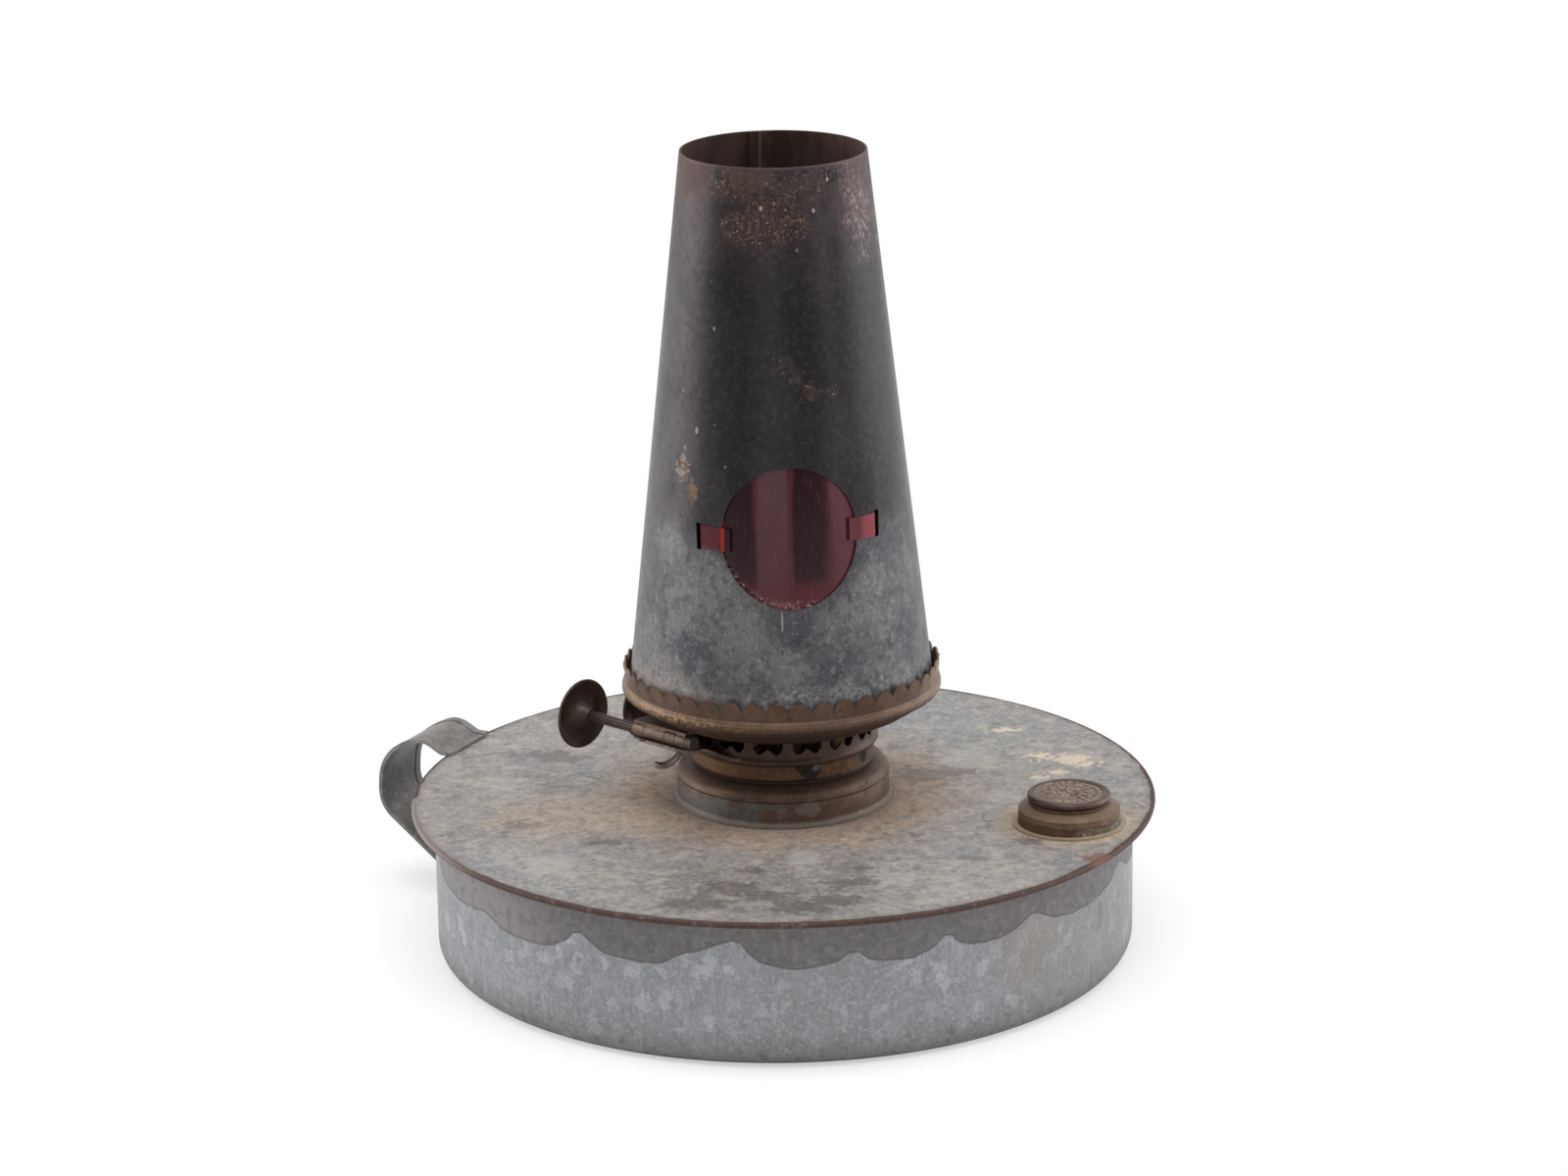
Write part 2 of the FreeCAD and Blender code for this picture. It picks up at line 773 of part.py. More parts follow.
def make_draft_screen():
    """A round plate under the basket's top, pierced by a ring of holes and by the wick tube's slot."""
    body = new_body("draft_screen", S.burner_azimuth)
    top = BASKET_TOP - S.basket_sheet
    turned(body, [
        (0, top - S.screen_sheet),
        (S.basket_radius - S.basket_sheet, top - S.screen_sheet),
        (S.basket_radius - S.basket_sheet, top),
        (0, top),
    ])
    slot = new_sketch(body, "TubeSlot", "XY_Plane", out=top + S.overrun)
    rounded_strip(slot, TUBE_HALF_WIDTH + S.tube_sheet, TUBE_HALF_DEPTH + S.tube_sheet)
    drawn_out(body, slot, S.screen_sheet + S.overrun * 2, "Pocket")
    vent = new_sketch(body, "VentHole", "XY_Plane", out=top + S.overrun)
    circle(vent, S.vent_radius, 0, -S.vent_distance)
    drawn_out(body, vent, S.screen_sheet + S.overrun * 2, "Pocket")
    hole = new_sketch(body, "DraftHole", "XY_Plane", out=top + S.overrun)
    circle(hole, S.screen_hole, 0, S.screen_hole_circle)
    ringed(body, drawn_out(body, hole, S.screen_sheet + S.overrun * 2, "Pocket"), S.screen_holes)


def make_wick_tube():
    body = new_body("wick_tube", S.burner_azimuth)
    section = new_sketch(body, "Section", "XY_Plane", out=S.tube_foot)
    rounded_strip(section, TUBE_HALF_WIDTH + S.tube_sheet, TUBE_HALF_DEPTH + S.tube_sheet)
    rounded_strip(section, TUBE_HALF_WIDTH, TUBE_HALF_DEPTH)
    drawn_out(body, section, S.tube_top - S.tube_foot)
    half = S.spur_thickness / 2 + S.spur_gap
    reach = S.spur_radius + S.spur_gap
    for index, place in enumerate(spur_places()):
        slot = new_sketch(body, f"WheelSlot{index}", "XZ_Plane")
        rectangle(slot, place - half, SHAFT_HEIGHT - reach, place + half, SHAFT_HEIGHT + reach)
        drawn_out(body, slot, TUBE_HALF_DEPTH + S.tube_sheet + S.overrun, "Pocket")


def make_vent_tube():
    body = new_body("vent_tube", S.burner_azimuth)
    section = new_sketch(body, "Section", "XY_Plane", out=RING_FOOT - S.overrun)
    circle(section, S.vent_radius, 0, -S.vent_distance)
    circle(section, S.vent_radius - S.vent_sheet, 0, -S.vent_distance)
    drawn_out(body, section, BASKET_TOP - RING_FOOT + S.overrun + S.vent_height)


# Wick and winder

def spur_places():
    return [-S.spur_spacing, S.spur_spacing * 0, S.spur_spacing]


def make_wick():
    body = new_body("wick", S.burner_azimuth)
    section = new_sketch(body, "Section", "XY_Plane", out=S.wick_foot)
    rounded_strip(section, S.wick_width / 2, S.wick_thickness / 2)
    drawn_out(body, section, S.tube_top + S.wick_show - S.wick_foot)


def along_shaft(body, name, start):
    """A sketch square to the winder shaft, centred on it."""
    return new_sketch(body, name, "YZ_Plane", across=SHAFT_OFFSET, up=SHAFT_HEIGHT, out=start)


def make_winder_shaft():
    body = new_body("winder_shaft", S.burner_azimuth)
    inner_end = S.spur_spacing + S.spur_thickness * 2
    section = along_shaft(body, "Section", -inner_end)
    circle(section, S.shaft_radius)
    drawn_out(body, section, S.winder_reach + S.wheel_depth * HALF_SHARE + inner_end)


def make_winder_sleeve():
    body = new_body("winder_sleeve", S.burner_azimuth)
    start = S.basket_radius - S.sleeve_length
    section = along_shaft(body, "Section", start)
    circle(section, S.shaft_radius + S.running_gap + S.sleeve_sheet)
    circle(section, S.shaft_radius + S.running_gap)
    drawn_out(body, section, S.sleeve_length * 2)


def make_spur_wheels():
    """Toothed wheels on the shaft, each a solid of its own."""
    teeth = round(S.spur_teeth.value)
    tip = S.spur_radius.value
    root = tip - S.spur_tooth_depth.value
    bore = S.shaft_radius.value
    width = S.spur_thickness.value
    wheels = []
    for place in spur_places():
        start = place.value - width / 2
        corners = []
        for index in range(teeth * 2):
            angle = math.pi * index / teeth
            radius = tip if index % 2 == 0 else root
            corners.append(FreeCAD.Vector(start, SHAFT_OFFSET.value + radius * math.cos(angle),
                                          SHAFT_HEIGHT.value + radius * math.sin(angle)))
        disc = Part.Face(closed_wire(corners)).extrude(FreeCAD.Vector(width, 0, 0))
        centre = FreeCAD.Vector(start - S.overrun.value, SHAFT_OFFSET.value, SHAFT_HEIGHT.value)
        hole = Part.makeCylinder(bore, width + S.overrun.value * 2, centre, FreeCAD.Vector(1, 0, 0))
        wheels.append(disc.cut(hole))
    shaped("spur_wheels", Part.makeCompound(wheels), S.burner_azimuth)


def thumbwheel(label, offset, height, reach, bore):
    """A dished wheel. Its hollow side and its boss face the burner, and reach is where its rim faces."""
    body = new_body(label, S.burner_azimuth)
    edge = S.wheel_radius
    deep = S.wheel_depth
    boss_end = reach - S.wheel_boss_reach
    dish_shares = {"lip": 0.88, "flat": 0.62, "neck": 0.5, "waist": 0.3}
    turned(body, [
        (boss_end, bore),
        (boss_end, S.wheel_boss),
        (reach - S.wheel_rim * HALF_SHARE, edge * dish_shares["waist"]),
        (reach + deep * HALF_SHARE, edge * dish_shares["neck"]),
        (reach + deep * HALF_SHARE, edge * dish_shares["flat"]),
        (reach + S.wheel_rim * HALF_SHARE, edge * dish_shares["lip"]),
        (reach, edge),
        (reach + S.wheel_rim, edge),
        (reach + deep * HALF_SHARE + S.wheel_rim, edge * dish_shares["flat"]),
        (reach + deep, edge * dish_shares["waist"]),
        (reach + deep, 0),
        (reach + deep * HALF_SHARE, 0),
        (reach + deep * HALF_SHARE, bore),
    ], axis="H_Axis", up=height, out=-offset)


# Hinge

def along_pin(body, name, start):
    """A sketch square to the hinge pin, centred on it."""
    return new_sketch(body, name, "YZ_Plane", across=S.hinge_reach, up=HINGE_HEIGHT, out=start)


def knuckle_runs():
    """Where each knuckle of the hinge starts and how long it is, from the head outwards."""
    inner_moving = S.barrel_near
    inner_fixed = inner_moving + S.moving_knuckle
    outer_moving = inner_fixed + S.fixed_knuckle
    outer_fixed = outer_moving + S.long_knuckle
    return {
        "inner_moving": (inner_moving, S.moving_knuckle),
        "inner_fixed": (inner_fixed, S.fixed_knuckle),
        "outer_moving": (outer_moving, S.long_knuckle),
        "outer_fixed": (outer_fixed, S.outer_knuckle),
    }


def add_knuckles(body, names, root_low, root_high):
    """Curled knuckles with the web that joins each to its leaf, all bored for the pin."""
    runs = [knuckle_runs()[name] for name in names]
    for index, (start, length) in enumerate(runs):
        curl = along_pin(body, f"Knuckle{index}", start + S.knuckle_gap)
        circle(curl, S.knuckle_radius)
        drawn_out(body, curl, length - S.knuckle_gap)
        web = along_pin(body, f"Web{index}", start + S.knuckle_gap)
        rectangle(web, -S.knuckle_radius, root_low, S.knuckle_radius * HALF_SHARE, root_high)
        drawn_out(body, web, length - S.knuckle_gap)
    first = runs[0][0]
    bore = along_pin(body, "PinBore", first - S.overrun)
    circle(bore, KNUCKLE_BORE)
    last_start, last_length = runs[-1]
    drawn_out(body, bore, last_start + last_length - first + S.overrun * 2, "Pocket", reverse=True)


def make_hinge_tongue():
    """The fixed leaf: a tongue from the basket wall to below the barrel, with two knuckles."""
    body = new_body("hinge_tongue", S.burner_azimuth)
    near = S.barrel_near - S.pin_head_length
    far = near + S.tongue_width
    front = S.hinge_reach + S.tongue_edge
    corner = S.tongue_edge * 2
    plate = new_sketch(body, "Plate", "XY_Plane", out=TONGUE_TOP - S.tongue_sheet)
    outline(plate, [
        (near + corner * HALF_SHARE, 0),
        (far - corner * HALF_SHARE, 0),
        (far, S.hinge_reach - corner * HALF_SHARE, corner * 2, 1),
        (far - corner, front),
        (near + corner, front, corner * 2, 1),
        (near, S.hinge_reach - corner * HALF_SHARE),
    ])
    drawn_out(body, plate, S.tongue_sheet)
    clear = new_sketch(body, "BasketClear", "XY_Plane", out=TONGUE_TOP + S.overrun)
    circle(clear, S.basket_radius)
    drawn_out(body, clear, S.tongue_sheet + S.overrun * 2, "Pocket")
    add_knuckles(body, ["inner_fixed", "outer_fixed"],
                 TONGUE_TOP - S.tongue_sheet - HINGE_HEIGHT, -KNUCKLE_BORE)


def make_hinge_leaf():
    """The moving leaf under the gallery, with two knuckles."""
    body = new_body("hinge_leaf", S.burner_azimuth)
    near = S.barrel_near
    far = near + S.moving_knuckle + S.fixed_knuckle + S.long_knuckle + S.outer_knuckle
    plate = new_sketch(body, "Plate", "XY_Plane", out=LEAF_FOOT)
    root = S.gallery_hole - S.tongue_sheet
    rectangle(plate, near, root, far, S.hinge_reach + S.knuckle_radius * HALF_SHARE)
    drawn_out(body, plate, S.leaf_sheet)
    add_knuckles(body, ["inner_moving", "outer_moving"], KNUCKLE_BORE, GALLERY_FOOT - HINGE_HEIGHT)


def make_lifter_pin():
    """The pin is plain and headed in the knuckles and fluted from there to its thumbwheel."""
    body = new_body("lifter_pin", S.burner_azimuth)
    head = along_pin(body, "Head", S.barrel_near - S.pin_head_length)
    circle(head, S.knuckle_radius)
    drawn_out(body, head, S.pin_head_length)
    end = S.lifter_reach + S.wheel_depth * HALF_SHARE
    stem = along_pin(body, "Stem", S.barrel_near - S.pin_head_length)
    circle(stem, S.pin_radius)
    drawn_out(body, stem, end - S.barrel_near + S.pin_head_length)
    start, length = knuckle_runs()["outer_fixed"]
    flutes_start = start + length + S.knuckle_gap
    flute = along_pin(body, "Flute", flutes_start)
    wide = S.pin_flute_depth
    outline(flute, [
        (-wide, S.pin_radius + S.pin_flute_depth),
        (0, S.pin_radius - S.pin_flute_depth),
        (wide, S.pin_radius + S.pin_flute_depth),
    ])
    run = S.lifter_reach - S.wheel_boss_reach - flutes_start
    groove = drawn_out(body, flute, run, "Pocket", reverse=True)
    ringed(body, groove, S.pin_flutes, (flute, ["N_Axis"]))


def make_catch_spring():
    """A flat spring under the tongue that curls down and away from the hinge."""
    top = TONGUE_TOP.value - S.tongue_sheet.value - S.catch_thickness.value / 2
    long = S.catch_length.value
    drop = S.catch_drop.value
    bend_shares = {"down": 0.42, "up": 0.72, "low": 0.86}
    corners = [
        FreeCAD.Vector(0, 0, top),
        FreeCAD.Vector(long * bend_shares["down"], 0, top),
        FreeCAD.Vector(long * bend_shares["up"], 0, top - drop * bend_shares["low"]),
        FreeCAD.Vector(long, 0, top - drop),
    ]
    path = rounded_path(corners, [S.catch_bend.value, S.catch_bend.value])
    half = S.catch_width.value / 2
    thick = S.catch_thickness.value / 2
    section = closed_wire([FreeCAD.Vector(0, -half, top - thick), FreeCAD.Vector(0, half, top - thick),
                           FreeCAD.Vector(0, half, top + thick), FreeCAD.Vector(0, -half, top + thick)])
    heading = S.burner_azimuth + 90 - S.catch_turn
    inward = S.hinge_reach - S.tongue_edge * 2
    x = S.catch_along * cosine(S.burner_azimuth) - inward * sine(S.burner_azimuth)
    y = S.catch_along * sine(S.burner_azimuth) + inward * cosine(S.burner_azimuth)
    shaped("catch_spring", swept(path, section), heading, x, y)


# Gallery

def make_gallery_ring():
    """Spun gallery: flat floor, stepped cove, beaded rim and scalloped coronet."""
    body = new_body("gallery_ring", S.burner_azimuth)
    skin = S.gallery_sheet
    floor = S.gallery_floor
    spread = S.bead_radius - floor
    rise = S.gallery_cove_rise
    step_shares = [(0.14, 0.22), (0.38, 0.30), (0.48, 0.56), (0.72, 0.64), (0.82, 0.90)]
    under = [(floor + spread * out, GALLERY_FOOT + rise * up) for out, up in step_shares]
    top_shares = [(0.80, 1.02), (0.70, 0.76), (0.46, 0.68), (0.36, 0.42), (0.12, 0.34)]
    over = [(floor + spread * out - skin * HALF_SHARE, GALLERY_FOOT + rise * up + skin * HALF_SHARE)
            for out, up in top_shares]
    crown = S.bead_radius + S.coronet_lean
    turned(body, [(S.gallery_hole, GALLERY_FOOT), (floor, GALLERY_FOOT)] + under + [
        (S.bead_radius, BEAD_FOOT, S.bead_bulge, -1),
        (S.bead_radius, BEAD_TOP),
        (crown, CORONET_TOP),
        (crown - S.coronet_sheet, CORONET_TOP),
        (S.bead_radius - S.coronet_sheet, BEAD_TOP),
        (S.bead_radius - S.coronet_sheet, BEAD_FOOT + skin),
    ] + over + [
        (floor - skin * HALF_SHARE, GALLERY_FOOT + skin),
        (S.gallery_hole, GALLERY_FOOT + skin),
    ])
    half = crown * math.pi / S.scallops - S.scallop_edge
    lobe = (half * half + S.scallop_depth * S.scallop_depth) / (S.scallop_depth * 2)
    notch = new_sketch(body, "Notch", "YZ_Plane", out=S.bead_radius - S.coronet_sheet - S.overrun)
    high = CORONET_TOP + S.overrun
    low = CORONET_TOP - S.scallop_depth
    outline(notch, [
        (-half, high),
        (-half, CORONET_TOP, lobe, 1),
        (0, low, lobe, 1),
        (half, CORONET_TOP),
        (half, high),
    ])
    cut = drawn_out(body, notch, S.coronet_sheet + S.coronet_lean + S.overrun * 2, "Pocket", reverse=True)
    ringed(body, cut, S.scallops)


def make_flame_dome():
    """A slotted dome on the gallery floor that spreads the flame."""
    body = new_body("flame_dome", S.burner_azimuth)
    skin = S.dome_sheet
    foot = GALLERY_FOOT + S.gallery_sheet
    outer = S.dome_radius
    shoulder = foot + S.dome_skirt
    peak = foot + S.dome_rise + S.dome_skirt
    crown = S.dome_crown
    dome_shares = [(0.97, 0.35), (0.88, 0.62), (0.72, 0.82)]
    side = [(outer * out, shoulder + S.dome_rise * up) for out, up in dome_shares]
    inside = [(outer * out - skin, shoulder + S.dome_rise * up - skin * HALF_SHARE)
              for out, up in reversed(dome_shares)]
    turned(body, [
        (outer - skin, foot),
        (outer + S.dome_foot, foot),
        (outer + S.dome_foot, foot + skin),
        (outer, foot + skin),
        (outer, shoulder),
    ] + side + [
        (crown * HALF_SHARE, peak - skin * HALF_SHARE),
        (0, peak),
        (0, peak - skin),
        (crown * HALF_SHARE - skin * HALF_SHARE, peak - skin - skin * HALF_SHARE),
    ] + inside + [
        (outer - skin, shoulder),
    ])
    slot = new_sketch(body, "FlameSlot", "XY_Plane", out=peak + S.overrun)
    rounded_strip(slot, S.dome_slot_length / 2, S.dome_slot_width / 2)
    drawn_out(body, slot, S.dome_rise, "Pocket")


# Chimney

def cone_radius(height):
    return S.chimney_top_radius + (S.chimney_height - height) * CHIMNEY_TAPER


def cone_shell(label, inner_shift, outer_shift, foot, top):
    """A tapered shell that follows the chimney's outside, shifted by a distance at each face."""
    span = top - foot
    skins = []
    for name, shift in (("Outer", outer_shift), ("Inner", inner_shift)):
        radii = {"Radius1": cone_radius(foot) + shift, "Radius2": cone_radius(top) + shift, "Height": span}
        skins.append(cutter(f"{label}{name}", "Cone", radii, z=foot))
    outer, inner = skins
    return boolean("Cut", f"{label}Shell", outer, inner)


def make_chimney():
    body = new_body("chimney_cone", S.chimney_azimuth)
    foot = CHIMNEY_FOOT
    top = S.chimney_height
    skin = S.chimney_sheet
    turned(body, [
        (S.chimney_foot_radius - skin, foot),
        (S.chimney_foot_radius, foot),
        (S.chimney_top_radius, top),
        (S.chimney_top_radius - skin, top),
    ])
    hole = new_sketch(body, "WindowHole", "XZ_Plane", up=S.window_height)
    across = S.window_half_width
    up = S.window_half_height
    bulge = (across + up) * HALF_SHARE
    outline(hole, [(across, 0, bulge, -1), (0, up, bulge, -1), (-across, 0, bulge, -1), (0, -up, bulge, -1)])
    drawn_out(body, hole, S.chimney_foot_radius + S.overrun, "Pocket", reverse=True)
    start = across + S.tab_length
    for side, lift in ((-1, -S.tab_lift * HALF_SHARE), (1, S.tab_lift)):
        low = lift - S.tab_width * HALF_SHARE - S.slot_gap
        high = lift + S.tab_width * HALF_SHARE + S.slot_gap
        near, far = start * side, (start + S.slot_width) * side
        left, right = (far, near) if side < 0 else (near, far)
        slot = new_sketch(body, f"TabSlot{side + 1}", "XZ_Plane", up=S.window_height)
        rectangle(slot, left, low, right, high)
        drawn_out(body, slot, S.chimney_foot_radius + S.overrun, "Pocket", reverse=True)


def make_chimney_seam():
    """The lap of the rolled sheet, soldered along the inside of the chimney's back."""
    face = -S.chimney_sheet - S.seam_gap
    shell = cone_shell("Seam", face - S.chimney_sheet, face, CHIMNEY_FOOT, S.chimney_height)
    sizes = {"Length": S.chimney_foot_radius, "Width": S.chimney_seam_width, "Height": S.chimney_height}
    aside = text_of(-S.chimney_seam_width * HALF_SHARE)
    middle = f" * placement(vector(0; {aside}; 0); rotation(vector(0; 0; 1); 0))"
    block = cutter("SeamBlock", "Box", sizes, azimuth=S.chimney_azimuth + S.chimney_seam_azimuth, before=middle)
    return on_axis("chimney_seam", boolean("Common", "ChimneySeam", shell, block))


def facing_window(label, kind, sizes, x, z):
    """A cutting shape in front of the window, given across the chimney and up."""
    before = f" * placement(vector({text_of(x)}; 0; {text_of(z)}); rotation(vector(1; 0; 0); 90))"
    return cutter(label, kind, sizes, azimuth=S.chimney_azimuth, before=before)


def make_window_pane():
    """A pane behind the hole, with two tabs that pass over the sheet's outside to their slots."""
    low = S.window_height - S.window_half_height * 2
    high = S.window_height + S.window_half_height * 2
    depth = S.chimney_foot_radius + S.overrun
    inside = -S.chimney_sheet - S.pane_gap
    back = cone_shell("PaneBack", inside - S.pane_sheet, inside, low, high)
    disc_sizes = {"Radius": S.window_half_height + S.pane_lap, "Height": depth}
    disc = facing_window("PaneDisc", "Cylinder", disc_sizes, 0, S.window_height)
    pieces = [boolean("Common", "PaneSheet", back, disc)]
    step = cone_shell("PaneStep", inside - S.pane_sheet, S.pane_gap + S.pane_sheet, low, high)
    over = cone_shell("PaneOver", S.pane_gap, S.pane_gap + S.pane_sheet, low, high)
    inner = S.window_half_width - S.tab_step - S.slot_gap
    for side, lift in ((-1, -S.tab_lift * HALF_SHARE), (1, S.tab_lift)):
        foot = S.window_height + lift - S.tab_width * HALF_SHARE
        reach = S.window_half_width + S.tab_length - inner
        left = inner if side > 0 else -inner - reach
        tab_sizes = {"Length": reach, "Width": S.tab_width, "Height": depth}
        tab = facing_window(f"Tab{side + 1}", "Box", tab_sizes, left, foot)
        pieces.append(boolean("Common", f"TabSheet{side + 1}", over, tab))
        step_left = inner if side > 0 else -inner - S.tab_step
        riser_sizes = {"Length": S.tab_step, "Width": S.tab_width, "Height": depth}
        riser = facing_window(f"Riser{side + 1}", "Box", riser_sizes, step_left, foot)
        pieces.append(boolean("Common", f"TabStep{side + 1}", step, riser))
    pane = DOC.addObject("Part::MultiFuse", "WindowPane")
    pane.Shapes = pieces
    return on_axis("window_pane", pane)


def build():
    make_tank_wall()
    make_tank_bottom()
    make_tank_top()
    make_handle()
    make_collar()
    make_filler_neck()
    make_cap_washer()
    make_filler_cap()
    make_burner_washer()
    make_burner_ring()
    make_air_basket()
    make_draft_screen()
    make_wick_tube()
    make_vent_tube()
    make_wick()
    make_winder_shaft()
    make_winder_sleeve()
    make_spur_wheels()
    thumbwheel("winder_wheel", SHAFT_OFFSET, SHAFT_HEIGHT, S.winder_reach, S.shaft_radius)
    make_hinge_tongue()
    make_hinge_leaf()
    make_lifter_pin()
    thumbwheel("lifter_wheel", S.hinge_reach, HINGE_HEIGHT, S.lifter_reach, S.pin_radius)
    make_catch_spring()
    make_gallery_ring()
    make_flame_dome()
    make_chimney()
    make_chimney_seam()
    make_window_pane()


def check_and_write():
    """Stop on any failed object, then write one file for each piece."""
    DOC.recompute()
    for item in DOC.Objects:
        if "Invalid" in item.State or "Error" in item.State:
            raise ValueError(f"{item.Label} failed: {item.State}")
    os.makedirs("parts", exist_ok=True)
    for node in NODES:
        shape = node.Shape
        if shape.isNull() or not shape.isValid() or not shape.Solids:
            raise ValueError(f"{node.Label} has no valid solid")
        shape.exportStep(f"parts/{node.Label}.step")
        print(node.Label, len(shape.Solids), round(shape.Volume, 2), shape.BoundBox)


build()
check_and_write()
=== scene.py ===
import logging
import math
from dataclasses import dataclass, field
from enum import Enum

import bmesh
import bpy
from mathutils import Matrix, Vector


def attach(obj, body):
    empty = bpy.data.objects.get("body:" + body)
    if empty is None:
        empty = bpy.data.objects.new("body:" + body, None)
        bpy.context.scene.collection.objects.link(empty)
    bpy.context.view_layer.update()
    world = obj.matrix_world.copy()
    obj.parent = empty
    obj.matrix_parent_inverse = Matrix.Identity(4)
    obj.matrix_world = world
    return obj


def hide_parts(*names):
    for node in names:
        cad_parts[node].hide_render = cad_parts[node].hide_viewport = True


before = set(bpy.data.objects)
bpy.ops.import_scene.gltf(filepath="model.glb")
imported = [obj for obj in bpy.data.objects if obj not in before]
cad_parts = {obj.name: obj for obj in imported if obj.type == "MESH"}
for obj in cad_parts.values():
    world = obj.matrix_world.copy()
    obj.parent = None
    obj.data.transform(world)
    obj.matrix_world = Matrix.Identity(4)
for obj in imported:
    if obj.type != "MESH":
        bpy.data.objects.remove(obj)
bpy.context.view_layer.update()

MM = 0.001
FULL_TURN = math.tau
TANK_TOP_MM = 39.5
FILLER_AT_MM = (71.749, -26.541)
HINGE_AZIMUTH_DEG = 138.0
BASKET_RADIUS_MM = 23.9
PIN_REACH_MM = 31.5
PIN_HEIGHT_MM = 60.5
log = logging.getLogger("brooder_lamp")


def linear(hex_colour: str) -> tuple[float, float, float, float]:
    """Turn an sRGB hex colour into the linear colour that shaders take.

    Args:
        hex_colour: six hex digits after a hash.

    Returns:
        Red, green, blue and an alpha of 1.
    """
    channels = [int(hex_colour[i:i + 2], 16) / 255 for i in (1, 3, 5)]
    light = [c / 12.92 if c <= 0.04045 else ((c + 0.055) / 1.055) ** 2.4 for c in channels]
    return (light[0], light[1], light[2], 1.0)


def add(tree: bpy.types.NodeTree, kind: str, links: dict | None = None, **settings: object) -> bpy.types.Node:
    """Add one node.

    Args:
        tree: the node tree.
        kind: the node's type name.
        links: what goes into each input: a socket of another node, or a plain value.
        settings: properties of the node.

    Returns:
        The new node.
    """
    node = tree.nodes.new(kind)
    for name, value in settings.items():
        setattr(node, name, value)
    for key, value in (links or {}).items():
        value = value.socket if isinstance(value, Field) else value
        if isinstance(value, bpy.types.NodeSocket):
            tree.links.new(value, node.inputs[key])
        else:
            node.inputs[key].default_value = value
    return node


class Field:
    """A value that varies over a surface, such as a mask or a height, and takes part in sums like a number."""

    def __init__(self, socket: bpy.types.NodeSocket) -> None:
        """Hold the socket that gives the value."""
        self.socket = socket

    def step(self, operation: str, *terms: object) -> "Field":
        """Work out one step of arithmetic, with this value as its first term.

        Args:
            operation: the step's name, such as MAXIMUM.
            terms: its other terms, each a field or a number.

        Returns:
            The result.
        """
        links = dict(enumerate((self, *terms)))
        return Field(add(self.socket.id_data, "ShaderNodeMath", links, operation=operation).outputs[0])

    def __add__(self, other: object) -> "Field":
        """Add a field or a number."""
        return self.step("ADD", other)

    def __sub__(self, other: object) -> "Field":
        """Subtract a field or a number."""
        return self.step("SUBTRACT", other)

    def __mul__(self, other: object) -> "Field":
        """Multiply by a field or a number."""
        return self.step("MULTIPLY", other)

    def __abs__(self) -> "Field":
        """Drop the sign."""
        return self.step("ABSOLUTE")


